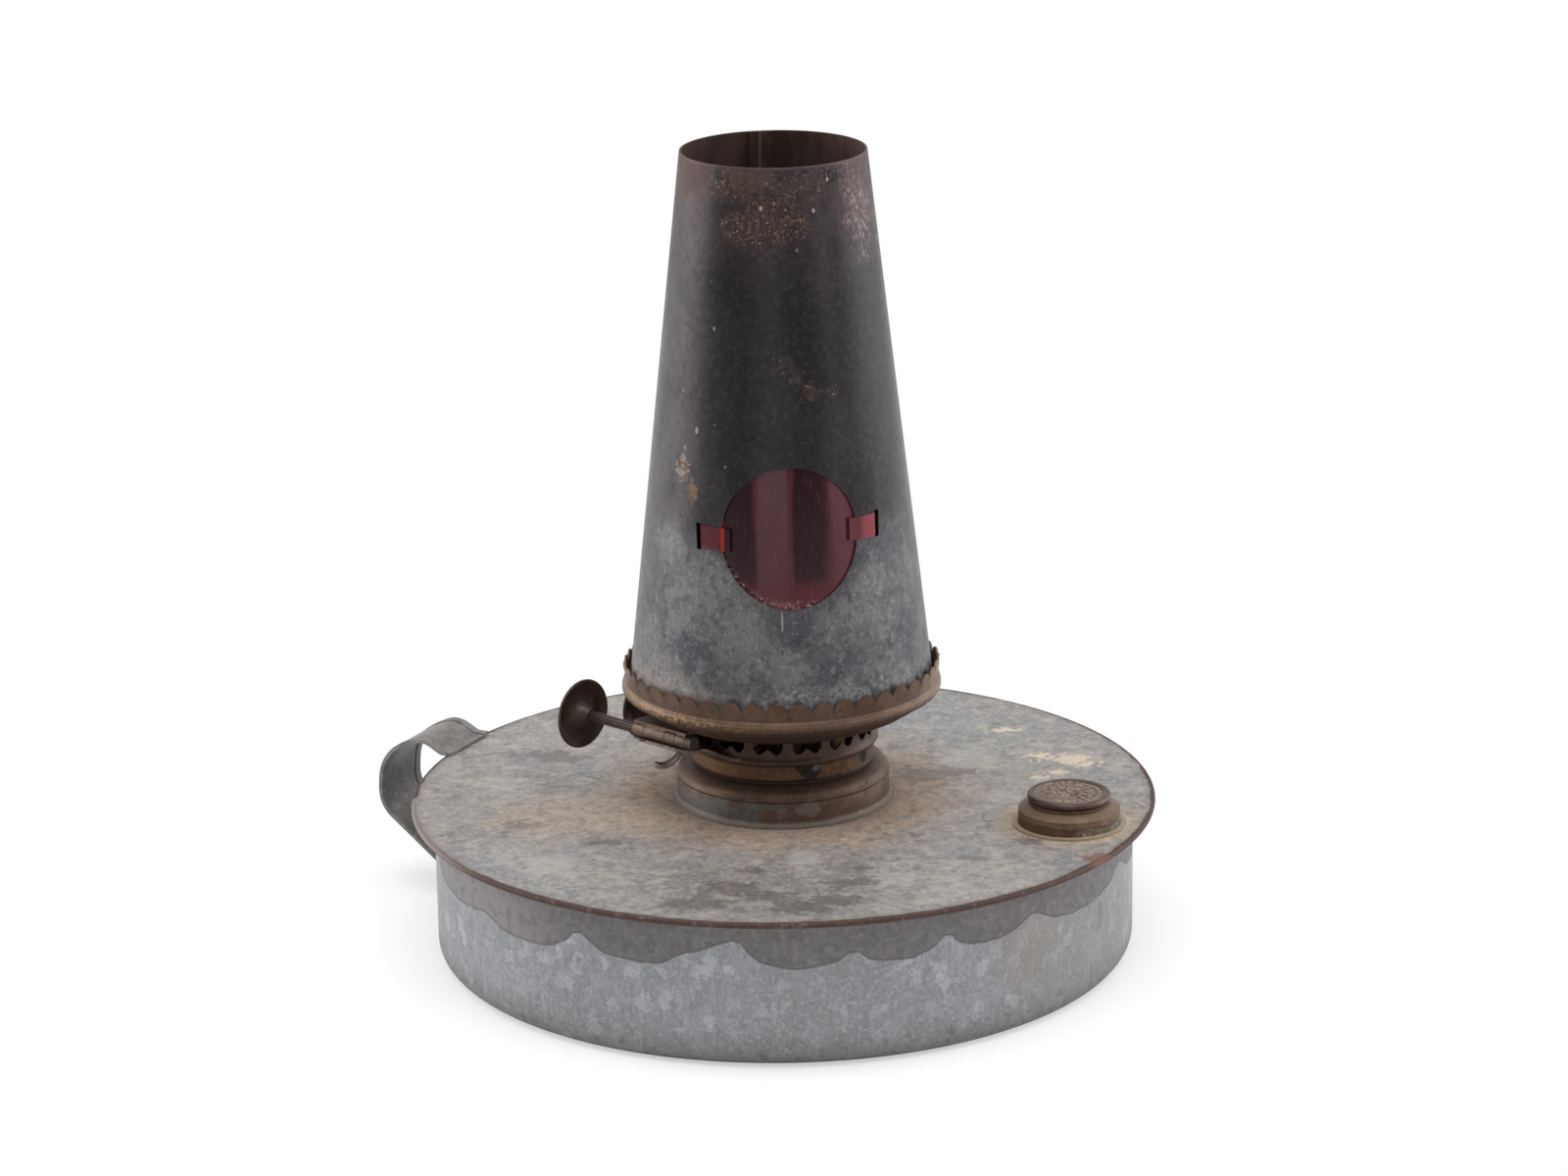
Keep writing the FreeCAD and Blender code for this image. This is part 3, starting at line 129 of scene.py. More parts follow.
class Surface:
    """A material under construction. Soiling, wear and relief are laid over its ground one by one."""

    def __init__(self, name: str, ground: str, roughness: float, metallic: float) -> None:
        """Start from the bare ground.

        Args:
            name: the material's name.
            ground: sRGB hex colour of the clean surface.
            roughness: roughness of the clean surface.
            metallic: 1 for bare metal, less where dirt or oxide covers it.
        """
        self.material = bpy.data.materials.new(name)
        self.material.use_nodes = True
        self.tree = self.material.node_tree
        self.shader = self.tree.nodes["Principled BSDF"]
        self.shader.inputs["Metallic"].default_value = metallic
        self.place = add(self.tree, "ShaderNodeTexCoord").outputs["Object"]
        split = add(self.tree, "ShaderNodeSeparateXYZ", {0: self.place})
        self.x, self.y, self.z = [Field(socket) for socket in split.outputs]
        self.colour = linear(ground)
        self.roughness = roughness
        self.relief = None

    def radius(self, x_mm: float = 0, y_mm: float = 0) -> Field:
        """Distance in millimetres from an upright axis.

        Args:
            x_mm: where the axis stands.
            y_mm: where the axis stands.

        Returns:
            The distance.
        """
        flat = add(self.tree, "ShaderNodeCombineXYZ", {0: self.x, 1: self.y})
        centre = (x_mm * MM, y_mm * MM, 0)
        away = add(self.tree, "ShaderNodeVectorMath", {0: flat.outputs[0], 1: centre}, operation="DISTANCE")
        return Field(away.outputs["Value"]) * (1 / MM)

    def azimuth(self) -> Field:
        """Angle about the lamp's axis in degrees, from -180 to 180."""
        return self.y.step("ARCTAN2", self.x) * (180 / math.pi)

    def across(self) -> Field:
        """Place along the lamp's width in millimetres, from the left to the right of its front."""
        return self.x * (1 / MM)

    def height(self) -> Field:
        """Height above the floor in millimetres."""
        return self.z * (1 / MM)

    def ramp(self, value: Field, start: float, end: float, within: object = 1.0) -> Field:
        """A mask that rises smoothly from 0 to 1 as a value goes from start to end.

        Args:
            value: the value.
            start: where the mask is 0.
            end: where the mask is 1, which may lie below start.
            within: a mask that this one stays inside, or an amount.

        Returns:
            The mask.
        """
        limits = {0: value, 1: start, 2: end}
        rise = add(self.tree, "ShaderNodeMapRange", limits, interpolation_type="SMOOTHSTEP")
        return Field(rise.outputs[0]) * within

    def cloud(self, size_mm: float, stretch: tuple = (1, 1, 1), detail: float = 4, shift: float = 0) -> Field:
        """Soft irregular variation about 0.5.

        Args:
            size_mm: size of its blotches.
            stretch: how many times longer they are along each axis.
            detail: how many finer sizes are mixed in.
            shift: moves the pattern, so that two of a size differ.

        Returns:
            The variation.
        """
        scale = [1 / (size_mm * MM * along) for along in stretch]
        moved = (shift, shift * 0.7, shift * 1.3)
        put = add(self.tree, "ShaderNodeMapping", {0: self.place, 1: moved, 3: scale})
        noise = {0: put.outputs[0], "Scale": 1, "Detail": detail, "Roughness": 0.6}
        return Field(add(self.tree, "ShaderNodeTexNoise", noise).outputs["Fac"])

    def uneven(self, size_mm: float, by_mm: float, **pattern: object) -> Field:
        """An irregular offset, which makes an edge ragged where it is added to a measure.

        Args:
            size_mm: size of its blotches.
            by_mm: how far it goes either way, in the measure's own unit.
            pattern: what else the cloud takes.

        Returns:
            The offset.
        """
        return self.cloud(size_mm, **pattern).step("MULTIPLY_ADD", 2 * by_mm, -by_mm)

    def wander(self, size_mm: float, by_mm: float) -> Field:
        """Bend the places that a pattern is looked up at, so that its straight edges wander.

        Args:
            size_mm: size of the bends.
            by_mm: how far they go.

        Returns:
            The bent place.
        """
        noise = add(self.tree, "ShaderNodeTexNoise", {0: self.place, "Scale": 1 / (size_mm * MM), "Detail": 2})
        middle = (0.5, 0.5, 0.5)
        push = add(self.tree, "ShaderNodeVectorMath", {0: noise.outputs["Color"], 1: middle},
                   operation="SUBTRACT")
        far = add(self.tree, "ShaderNodeVectorMath", {0: push.outputs[0], "Scale": by_mm * MM * 2},
                  operation="SCALE")
        return Field(add(self.tree, "ShaderNodeVectorMath", {0: self.place, 1: far.outputs[0]}).outputs[0])

    def blotches(self, size_mm: float, above: float, soft: float = 0.04, within: object = 1.0,
                 **pattern: object) -> Field:
        """Ragged blotches where a cloud is above a level.

        Args:
            size_mm: size of the blotches.
            above: the level: about 0.5 covers half, 0.65 a few places.
            soft: softness of their edges.
            within: a mask that they stay inside, or an amount.
            pattern: what else the cloud takes.

        Returns:
            The mask.
        """
        return self.ramp(self.cloud(size_mm, **pattern), above - soft, above + soft, within)

    def grains(self, size_mm: float, share: float, within: object = 1.0, stretch: tuple = (1, 1, 1),
               fill: float = 0.5) -> Field:
        """Separate specks scattered in cells, a share of the cells having one.

        Args:
            size_mm: size of a cell.
            share: share of the cells that have a speck.
            within: a mask that they stay inside, or an amount.
            stretch: how many times longer the cells are along each axis.
            fill: how much of its cell a speck fills.

        Returns:
            The mask.
        """
        scale = [1 / (size_mm * MM * along) for along in stretch]
        put = add(self.tree, "ShaderNodeMapping", {0: self.place, 3: scale})
        cells = add(self.tree, "ShaderNodeTexVoronoi", {0: put.outputs[0], "Scale": 1})
        chosen = add(self.tree, "ShaderNodeSeparateColor", {0: cells.outputs["Color"]})
        picked = Field(chosen.outputs[0]).step("LESS_THAN", share)
        return picked * self.ramp(cells.outputs["Distance"], fill, fill * 0.6, within)

    def spot(self, x_mm: float, y_mm: float, z_mm: float, reach_mm: float, ragged_mm: float, soft_mm: float,
             amount: float = 1, squash: tuple = (1, 1, 1)) -> Field:
        """A ragged stain about one place.

        Args:
            x_mm: its middle.
            y_mm: its middle.
            z_mm: its middle.
            reach_mm: how far it reaches.
            ragged_mm: how far its edge wanders.
            soft_mm: how soft its edge is.
            amount: how strong it is.
            squash: how many times shorter it is along each axis.

        Returns:
            The mask.
        """
        middle = Vector((x_mm, y_mm, z_mm)) * MM
        put = add(self.tree, "ShaderNodeVectorMath", {0: self.place, 1: middle}, operation="SUBTRACT")
        shaped = add(self.tree, "ShaderNodeVectorMath", {0: put.outputs[0], 1: squash}, operation="MULTIPLY")
        away = add(self.tree, "ShaderNodeVectorMath", {0: shaped.outputs[0]}, operation="LENGTH")
        ragged = self.uneven(reach_mm * 0.7, ragged_mm * 2, shift=x_mm)
        far = Field(away.outputs["Value"]).step("MULTIPLY_ADD", 1 / MM, ragged)
        return self.ramp(far, reach_mm + soft_mm, reach_mm - soft_mm, amount)

    def lay(self, mask: object, colour: str, roughness: float | None = None) -> None:
        """Lay a colour, and a roughness where given, over the surface where a mask is.

        Args:
            mask: the mask, or an amount.
            colour: sRGB hex colour.
            roughness: the roughness there.
        """
        mixed = add(self.tree, "ShaderNodeMix", {0: mask, 6: self.colour, 7: linear(colour)}, data_type="RGBA")
        self.colour = mixed.outputs[2]
        if roughness is not None:
            ends = {0: mask, 2: self.roughness, 3: roughness}
            self.roughness = add(self.tree, "ShaderNodeMix", ends).outputs[0]

    def press(self, mask: Field, depth_mm: float) -> None:
        """Raise the surface where a mask is, or sink it by a depth below 0.

        Args:
            mask: the mask.
            depth_mm: how far.
        """
        step = mask * depth_mm
        self.relief = step if self.relief is None else self.relief + step

    def finished(self) -> bpy.types.Material:
        """Join what was laid to the shader.

        Returns:
            The material.
        """
        for name, value in (("Base Color", self.colour), ("Roughness", self.roughness)):
            if isinstance(value, bpy.types.NodeSocket):
                self.tree.links.new(value, self.shader.inputs[name])
            else:
                self.shader.inputs[name].default_value = value
        if self.relief is not None:
            bump = add(self.tree, "ShaderNodeBump", {"Strength": 1.0, "Distance": MM, "Height": self.relief})
            self.tree.links.new(bump.outputs[0], self.shader.inputs["Normal"])
        return self.material


@dataclass(frozen=True)
class HotDipWall:
    """Hot-dip galvanised sheet: crystal flakes a few millimetres across, dulled blue-grey, with faint runs.

    The flux stain's lower edge is a list of azimuths in degrees and drops below the wall's top in millimetres,
    in turn the cusps between two swags and the bottoms of the swags.
    """

    flake_mm: float = 2.8
    wall_top_mm: float = 38.9
    run_mm: tuple = (75.1, -48.4)
    rust_mm: tuple = (57.6, -67.9, 27)
    cusps: tuple = (
        (-169, 9.0), (-146, 12.2), (-124.4, 8.2), (-97.6, 5.6), (-79.3, 8.8), (-63.9, 7.5), (-47.3, 8.6),
        (-20, 8.5), (6, 7.0), (30, 8.5), (54, 6.5), (78, 8.5), (103, 7.0), (126, 8.4), (150, 7.2))
    bottoms: tuple = (
        (-157, 13.6), (-135.2, 15.0), (-113.6, 13.6), (-106.8, 10.9), (-88, 13.2), (-72.9, 13.0), (-57.5, 12.5),
        (-34.1, 13.2), (-7, 13.0), (18, 12.2), (42, 13.4), (66, 12.4), (90, 13.5), (115, 12.6), (138, 13.4),
        (162, 12.8))

    def flux_band(self, surface: Surface) -> tuple[Field, Field]:
        """The stain that solder flux left under the rim, which hangs in swags round the wall.

        Args:
            surface: the surface under construction.

        Returns:
            The band's mask, and the mask of the dark line along its lower edge.
        """
        turn = surface.azimuth() * (1 / 360) + 0.5
        curve = add(surface.tree, "ShaderNodeFloatCurve", {1: turn})
        points = curve.mapping.curves[0].points
        seam_drop = self.bottoms[0][1] - 1.5
        for point, share in zip(points, (0.0, 1.0)):
            point.location = (share, seam_drop / self.wall_top_mm)
        for corner, places in (("VECTOR", self.cusps), ("AUTO", self.bottoms)):
            for angle, drop in places:
                points.new((angle + 180) / 360, drop / self.wall_top_mm).handle_type = corner
        curve.mapping.update()
        drop_mm = Field(curve.outputs[0]) * self.wall_top_mm
        ragged = surface.uneven(6, 0.8, detail=5)
        above = surface.height() - self.wall_top_mm + drop_mm + ragged
        band = surface.ramp(above, -0.15, 0.3)
        line = band * surface.ramp(above, 0.75, 0.25)
        return band, line

    def build(self) -> bpy.types.Material:
        """Make the material.

        Returns:
            The material.
        """
        wall = Surface("galvanised_wall", "#84868A", 0.5, 0.35)
        scale = [1 / (self.flake_mm * MM * along) for along in (1, 1, 1.25)]
        bent = add(wall.tree, "ShaderNodeVectorMath", {0: wall.wander(2.2, 1.6), 1: scale},
                   operation="MULTIPLY")
        cells = add(wall.tree, "ShaderNodeTexVoronoi", {0: bent.outputs[0], "Scale": 1})
        tones = add(wall.tree, "ShaderNodeSeparateColor", {0: cells.outputs["Color"]})
        shade, glint, rise = [Field(socket) for socket in tones.outputs]
        wall.lay(shade * 0.34, "#6B6D70", 0.58)
        wall.lay(wall.ramp(glint, 0.82, 0.92, 0.42), "#ABAEB3", 0.4)
        wall.lay(wall.blotches(0.8, 0.52, 0.12, 0.16, stretch=(1, 1, 7), detail=2), "#A6A8AC")
        wall.lay(wall.blotches(0.7, 0.55, 0.09, 0.16, stretch=(1, 1, 9), detail=2, shift=3), "#595B5E")
        wall.lay(wall.blotches(26, 0.5, 0.14, 0.34), "#6E706F", 0.6)
        wall.lay(wall.blotches(9, 0.6, 0.07, 0.26, shift=8), "#979A9E")
        wall.lay(wall.blotches(1.4, 0.55, 0.06, 0.36, detail=5, shift=13), "#66686A")
        wall.lay(wall.blotches(1.0, 0.58, 0.05, 0.32, detail=5, shift=17), "#ABADB0")
        wall.lay(wall.spot(*self.run_mm, 20, 22, 7, 9, 0.2, (1, 1, 0.6)), "#807567", 0.65)
        wall.lay(wall.spot(*self.rust_mm, 9, 4, 4, 0.24, (1, 1, 0.6)), "#85725F", 0.65)
        wall.lay(wall.grains(3.4, 0.16, wall.spot(*self.run_mm, 16, 24, 6, 9, 0.4, (1, 1, 0.6)), (1, 1, 3)),
                 "#69594A")
        wall.lay(wall.ramp(wall.height(), 11, 0, 0.6), "#5F625C", 0.66)
        wall.lay(wall.blotches(2.2, 0.6, 0.05, wall.ramp(wall.height(), 14, 1, 0.6)), "#4D4F4B")
        band, line = self.flux_band(wall)
        wall.lay(band * 0.94, "#625E5F", 0.62)
        wall.lay(wall.ramp(wall.azimuth(), -124, -142, band * 0.85), "#7C7879", 0.6)
        wall.lay(wall.blotches(1.6, 0.53, 0.07, band * 0.36, detail=5), "#827D7C")
        wall.lay(wall.blotches(3.2, 0.55, 0.06, band * 0.4, shift=5), "#514D4D")
        wall.lay(line * 0.55, "#46423F")
        wall.press(rise, 0.012)
        wall.press(wall.cloud(34, detail=1), 0.4)
        wall.press(wall.cloud(1.4, detail=4, stretch=(1, 1, 2)), 0.03)
        wall.press(band, 0.04)
        return wall.finished()


@dataclass(frozen=True)
class SoiledTop:
    """Galvanised sheet that lay flat for decades: grey under dust, lamp oil and rings, and rusted at its hem."""

    dark_blots: tuple = (
        (16.6, -67, 4.2), (-23, -80, 5.5), (-13, -70, 5.5), (38.4, 12.6, 6.5), (-61, 31, 6.5), (12, -79, 4.5),
        (-45, -36, 2.6), (47, -52, 2.4), (-66, -22, 3.0), (19, -57, 2.4), (-8, -58, 2.4), (61, -40, 2.6),
        (3, -84, 5), (-4, -76, 4))
    drop_rings: tuple = ((-51.7, 11.5, 2.2), (-37.8, 12.4, 2.8), (45.6, -17.5, 2.3), (29.1, -55.7, 2.4))
    pale_spots: tuple = (
        (47.7, 23.9, 7.5), (-74, 12, 6.0), (27, -65, 5.5), (56, -7, 4.5), (5, -50, 5.0), (-57, -52, 7.0))
    paint_flakes: tuple = (
        (73.3, 22.7, 4.6), (67.5, 26.5, 2.8), (79, 18.5, 2.4), (59.1, 47.6, 2.8), (71, 12.5, 2.2), (66, 8.5, 1.8))
    rim_rust_mm: tuple = (77.6, -53.2)

    def build(self) -> bpy.types.Material:
        """Make the material.

        Returns:
            The material.
        """
        top = Surface("soiled_galvanised_top", "#8D8985", 0.55, 0.3)
        out = top.radius()
        top.lay(top.blotches(24, 0.48, 0.09, 0.6), "#7A7C80", 0.5)
        top.lay(top.blotches(12, 0.55, 0.05, 0.5, detail=5, shift=4), "#696A6C", 0.5)
        top.lay(top.blotches(17, 0.57, 0.07, 0.45, shift=9), "#9A948D", 0.6)
        top.lay(top.spot(38, 44, TANK_TOP_MM, 30, 8, 12, 0.55, (1, 1.1, 1)), "#808385", 0.48)
        top.lay(top.spot(-4, -74, TANK_TOP_MM, 20, 8, 9, 0.4, (0.6, 1.4, 1)), "#6C6A68", 0.5)
        dust = out + top.uneven(14, 17)
        top.lay(top.ramp(dust, 62, 34, 0.62), "#9B8470", 0.7)
        top.lay(top.ramp(dust, 46, 31, 0.6), "#AB8E77", 0.75)
        top.lay(top.spot(-50, -14, TANK_TOP_MM, 22, 12, 12, 0.5, (1, 1.4, 1)), "#AB947F", 0.75)
        top.lay(top.ramp(out, 31.2, 29.0, 0.5), "#8F8379", 0.75)
        fill = top.radius(*FILLER_AT_MM) + top.uneven(7, 6)
        top.lay(top.ramp(fill, 24, 14, 0.75), "#9E8E7E", 0.72)
        top.lay(top.ramp(fill, 19.5, 14.5, 0.65), "#B09B84", 0.75)
        edge = top.ramp(fill, 20.2, 20.8) * top.ramp(fill, 21.6, 21.0)
        top.lay(edge * top.blotches(12, 0.5, 0.08, 0.6, shift=6), "#544E4A")
        top.lay(top.blotches(1.5, 0.53, 0.07, 0.34, detail=5), "#625F5D")
        top.lay(top.blotches(1.3, 0.55, 0.06, 0.34, detail=5, shift=7), "#B7AFA6")
        top.lay(top.blotches(4.5, 0.57, 0.05, 0.4, detail=5, shift=14), "#5B5958")
        top.lay(top.blotches(5.5, 0.57, 0.05, 0.4, detail=5, shift=19), "#ACA399")
        top.lay(top.grains(6.4, 0.14, 0.5, fill=0.24), "#55504D")
        top.lay(top.grains(4.3, 0.14, 0.6, fill=0.16), "#4A4643")
        top.lay(top.grains(3.1, 0.1, 0.6, fill=0.16), "#C2B7AA")
        top.lay(top.grains(7.3, 0.12, 0.5, fill=0.22), "#B3A597")
        for x, y, reach in self.pale_spots:
            top.lay(top.spot(x, y, TANK_TOP_MM, reach, reach * 0.6, reach * 0.3, 0.42), "#A9A5A0", 0.6)
        for x, y, reach in self.dark_blots:
            top.lay(top.spot(x, y, TANK_TOP_MM, reach, reach * 0.9, reach * 0.25, 0.6, (0.7, 1.3, 1)),
                    "#544C49", 0.5)
        for x, y, reach in self.drop_rings:
            mark = top.radius(x, y)
            hoop = top.ramp(mark, reach + 0.6, reach + 0.1) * top.ramp(mark, reach - 0.8, reach - 0.2)
            top.lay(hoop * 0.42, "#B8AFA4")
        for x, y, reach in self.paint_flakes:
            top.lay(top.spot(x, y, TANK_TOP_MM, reach, reach * 1.4, 0.35, 0.85, (0.8, 1.5, 1)), "#C6B7A4", 0.8)
        rim = out + top.uneven(7, 1.0)
        top.lay(top.ramp(rim, 91.6, 94.2, 0.35), "#655A55", 0.6)
        top.lay(top.ramp(rim, 93.6, 94.4), "#3B2822", 0.68)
        top.lay(top.blotches(4, 0.53, 0.07, top.ramp(out, 94.3, 94.9, 0.6), shift=1), "#4D332B", 0.7)
        top.lay(top.blotches(2.2, 0.6, 0.05, top.ramp(out, 94.3, 95.0, 0.6), shift=11), "#5E5048", 0.6)
        # Painted highlight: a pale band along the rim's left side.
        left = top.ramp(top.azimuth(), -138, -162) * top.ramp(rim, 93.0, 94.6, 0.6)
        top.lay(left, "#8B807B", 0.5)
        top.lay(top.spot(*self.rim_rust_mm, TANK_TOP_MM, 4.2, 3, 1, 0.75), "#664335", 0.7)
        top.press(top.cloud(40, detail=1), 0.8)
        top.press(top.cloud(1.8, detail=4), 0.04)
        top.press(top.grains(4.3, 0.14, fill=0.16), -0.04)
        return top.finished()


@dataclass(frozen=True)
class DulledStrap:
    """The handle's galvanised strap: grey-brown, with painted light that makes it paler towards its top."""

    def build(self) -> bpy.types.Material:
        """Make the material.

        Returns:
            The material.
        """
        strap = Surface("dulled_strap", "#6C6967", 0.5, 0.6)
        # Painted light: the strap is paler higher up and darker low in the loop, where shade falls.
        strap.lay(strap.ramp(strap.height(), 26, 41, 0.5), "#84807E", 0.45)
        strap.lay(strap.blotches(7, 0.52, 0.08, 0.5), "#565251", 0.55)
        strap.lay(strap.blotches(2.2, 0.57, 0.05, 0.4, shift=2), "#8F8B88", 0.5)
        strap.lay(strap.grains(2.4, 0.12, 0.5), "#45403D")
        strap.press(strap.cloud(1.5), 0.05)
        return strap.finished()


@dataclass(frozen=True)
class TarnishedBrass:
    """Spun or stamped brass under brown oxide, with yellow metal and dust showing in places."""

    name: str
    ground: str
    dark: str
    light: str
    dust: str
    roughness: float = 0.44
    metallic: float = 0.5
    blotch_mm: float = 5.0
    dusty: float = 0.3
    pitted: float = 0.12

    def start(self) -> Surface:
        """Lay what every brass piece of the lamp has.

        Returns:
            The surface under construction.
        """
        brass = Surface(self.name, self.ground, self.roughness, self.metallic)
        brass.lay(brass.blotches(self.blotch_mm, 0.5, 0.16, 0.5), self.dark, self.roughness + 0.1)
        brass.lay(brass.blotches(self.blotch_mm * 0.6, 0.56, 0.1, 0.45, shift=6), self.light,
                  self.roughness - 0.05)
        brass.lay(brass.blotches(1.3, 0.56, 0.12, self.dusty, detail=5, shift=3), self.dust, 0.7)
        brass.lay(brass.grains(1.6, self.pitted * 0.5, 0.6), self.dark, 0.75)
        brass.press(brass.cloud(12, detail=1), 0.12)
        brass.press(brass.cloud(0.9, detail=4), 0.018)
        brass.press(brass.grains(1.6, self.pitted * 0.5), -0.03)
        return brass

    def build(self) -> bpy.types.Material:
        """Make the material.

        Returns:
            The material.
        """
        return self.start().finished()


@dataclass(frozen=True)
class FillerBrass(TarnishedBrass):
    """The filler neck: a tan shoulder, a rust-brown and grey band, and dust on its foot."""

    band_mm: float = 43.2

    def build(self) -> bpy.types.Material:
        """Make the material.

        Returns:
            The material.
        """
        brass = self.start()
        up = brass.height() + brass.uneven(5, 1.2)
        brass.lay(brass.ramp(up, self.band_mm - 0.6, self.band_mm + 0.3, 0.75), "#675241", 0.6)
        band = brass.ramp(up, self.band_mm - 0.4, self.band_mm + 0.3, 0.5)
        brass.lay(brass.blotches(3.5, 0.5, 0.1, band, shift=2), "#4E3C30", 0.5)
        low = brass.ramp(up, self.band_mm - 0.7, self.band_mm - 1.7)
        side = brass.across() - FILLER_AT_MM[0] + brass.uneven(4, 4, shift=8)
        left = low * brass.ramp(side, 2.5, -1.0)
        right = low * brass.ramp(side, 0.5, 4.0)
        brass.lay(left * 0.85, "#4F3628", 0.62)
        brass.lay(brass.blotches(2.4, 0.54, 0.08, left * 0.7), "#6E452D", 0.65)
        brass.lay(right * 0.8, "#5F594E", 0.6)
        brass.lay(brass.blotches(1.2, 0.57, 0.06, right * 0.7, shift=4), "#A39C90", 0.7)
        line = brass.ramp(up, 41.5, 41.9) * brass.ramp(up, 42.6, 42.2)
        brass.lay(line * 0.55, "#43302A", 0.6)
        foot = brass.ramp(brass.radius(*FILLER_AT_MM), 12.85, 13.15)
        brass.lay(foot * 0.9, "#9A8C7A", 0.75)
        brass.lay(brass.blotches(1.8, 0.54, 0.08, foot * 0.6, shift=9), "#A08D78", 0.8)
        return brass.finished()


@dataclass(frozen=True)
class CapBrass(TarnishedBrass):
    """The cap: a smooth purple-brown rolled rim, and dust caught in the stamped face."""

    face_mm: float = 8.6

    def build(self) -> bpy.types.Material:
        """Make the material.

        Returns:
            The material.
        """
        brass = self.start()
        out = brass.radius(*FILLER_AT_MM)
        face = brass.ramp(out, self.face_mm + 0.3, self.face_mm - 0.3)
        brass.lay(face * 0.6, "#7E6E62", 0.62)
        brass.lay(brass.blotches(1.5, 0.5, 0.1, face * 0.5, shift=2), "#54453D", 0.6)
        brass.lay(brass.blotches(1.1, 0.55, 0.08, face * 0.6, shift=7), "#A6978A", 0.7)
        return brass.finished()


@dataclass(frozen=True)
class CollarBrass(TarnishedBrass):
    """The collar's brown brass, with a grey wash of old solder on one side of its band, dust at its foot, and a
    painted highlight on the left of its shoulder.
    """

    band_radius_mm: float = 27.2
    band_top_mm: float = 46.0

    def build(self) -> bpy.types.Material:
        """Make the material.

        Returns:
            The material.
        """
        brass = self.start()
        up = brass.height()
        ragged = brass.uneven(6, 30, detail=4)
        turn = brass.azimuth() + ragged
        front = brass.ramp(turn, -96, -104) * brass.ramp(turn, -186, -170)
        drip = brass.uneven(5, 4, shift=5)
        top = self.band_top_mm
        below = brass.ramp(up + drip, top - 0.2, top - 1.2)
        wash = below * front
        brass.lay(wash, "#4E4A48", 0.5)
        brass.lay(brass.blotches(2.6, 0.52, 0.08, wash * 0.5, detail=5), "#5F5752", 0.6)
        brass.lay(brass.blotches(1.2, 0.56, 0.08, wash * 0.5, detail=5, shift=2), "#3F3C3B", 0.5)
        brass.lay(brass.spot(6.5, -26.4, 44.3, 3.2, 2, 0.5, 0.6, (1, 1, 1.6)), "#63605C", 0.5)
        groove = brass.ramp(up, top - 0.45, top - 0.15) * brass.ramp(up, top + 0.3, top + 0.05)
        brass.lay(groove * 0.6, "#30221B")
        # Painted highlight: the shoulder is lighter on its left, where the light falls.
        shoulder = brass.ramp(up, top, top + 0.6, 0.6)
        brass.lay(brass.ramp(brass.azimuth(), -112, -150, shoulder), "#7A6353", 0.6)
        foot = brass.radius() + brass.uneven(4, 0.4) - self.band_radius_mm
        brass.lay(brass.ramp(foot, 0.05, 0.4, 0.92), "#726860", 0.75)
        dusty = brass.ramp(foot, 0.1, 0.6, 0.5)
        brass.lay(brass.blotches(1.4, 0.52, 0.1, dusty, detail=5), "#625B56", 0.75)
        return brass.finished()


@dataclass(frozen=True)
class RingBrass(TarnishedBrass):
    """The burner cup's brass: golden brown where hands turned it, lighter on its left side as painted light, with
    painted shade under the basket's lip and a burnt, corroded place at the front.
    """

    foot_mm: float = 50.2
    top_mm: float = 54.6

    def build(self) -> bpy.types.Material:
        """Make the material.

        Returns:
            The material.
        """
        brass = self.start()
        up = brass.height()
        brass.lay(brass.blotches(1.8, 0.54, 0.1, 0.45, shift=12), "#6A4726", 0.44)
        # Painted light: the cup is lighter on its left, where the light falls.
        brass.lay(brass.ramp(brass.azimuth(), -105, -140, 0.6), "#7D5A3A", 0.55)
        brass.lay(brass.ramp(up, self.foot_mm + 0.9, self.foot_mm + 0.1, 0.75), "#1C120C", 0.7)
        # Painted shade under the basket's lip, along the ring's top.
        brass.lay(brass.ramp(up, self.top_mm - 1.0, self.top_mm - 0.2, 0.7), "#21150E", 0.6)
        brass.lay(brass.spot(6.6, -22.6, 53.0, 3.4, 2.0, 0.8, 0.9, (1, 1, 1.5)), "#1D1512", 0.8)
        brass.lay(brass.spot(20.5, -11.2, 53.2, 1.9, 0.7, 0.5, 0.95), "#14100E", 0.8)
        brass.lay(brass.spot(8.4, -22.0, 53.4, 0.9, 0.3, 0.2, 0.9), "#4E545A", 0.5)
        return brass.finished()


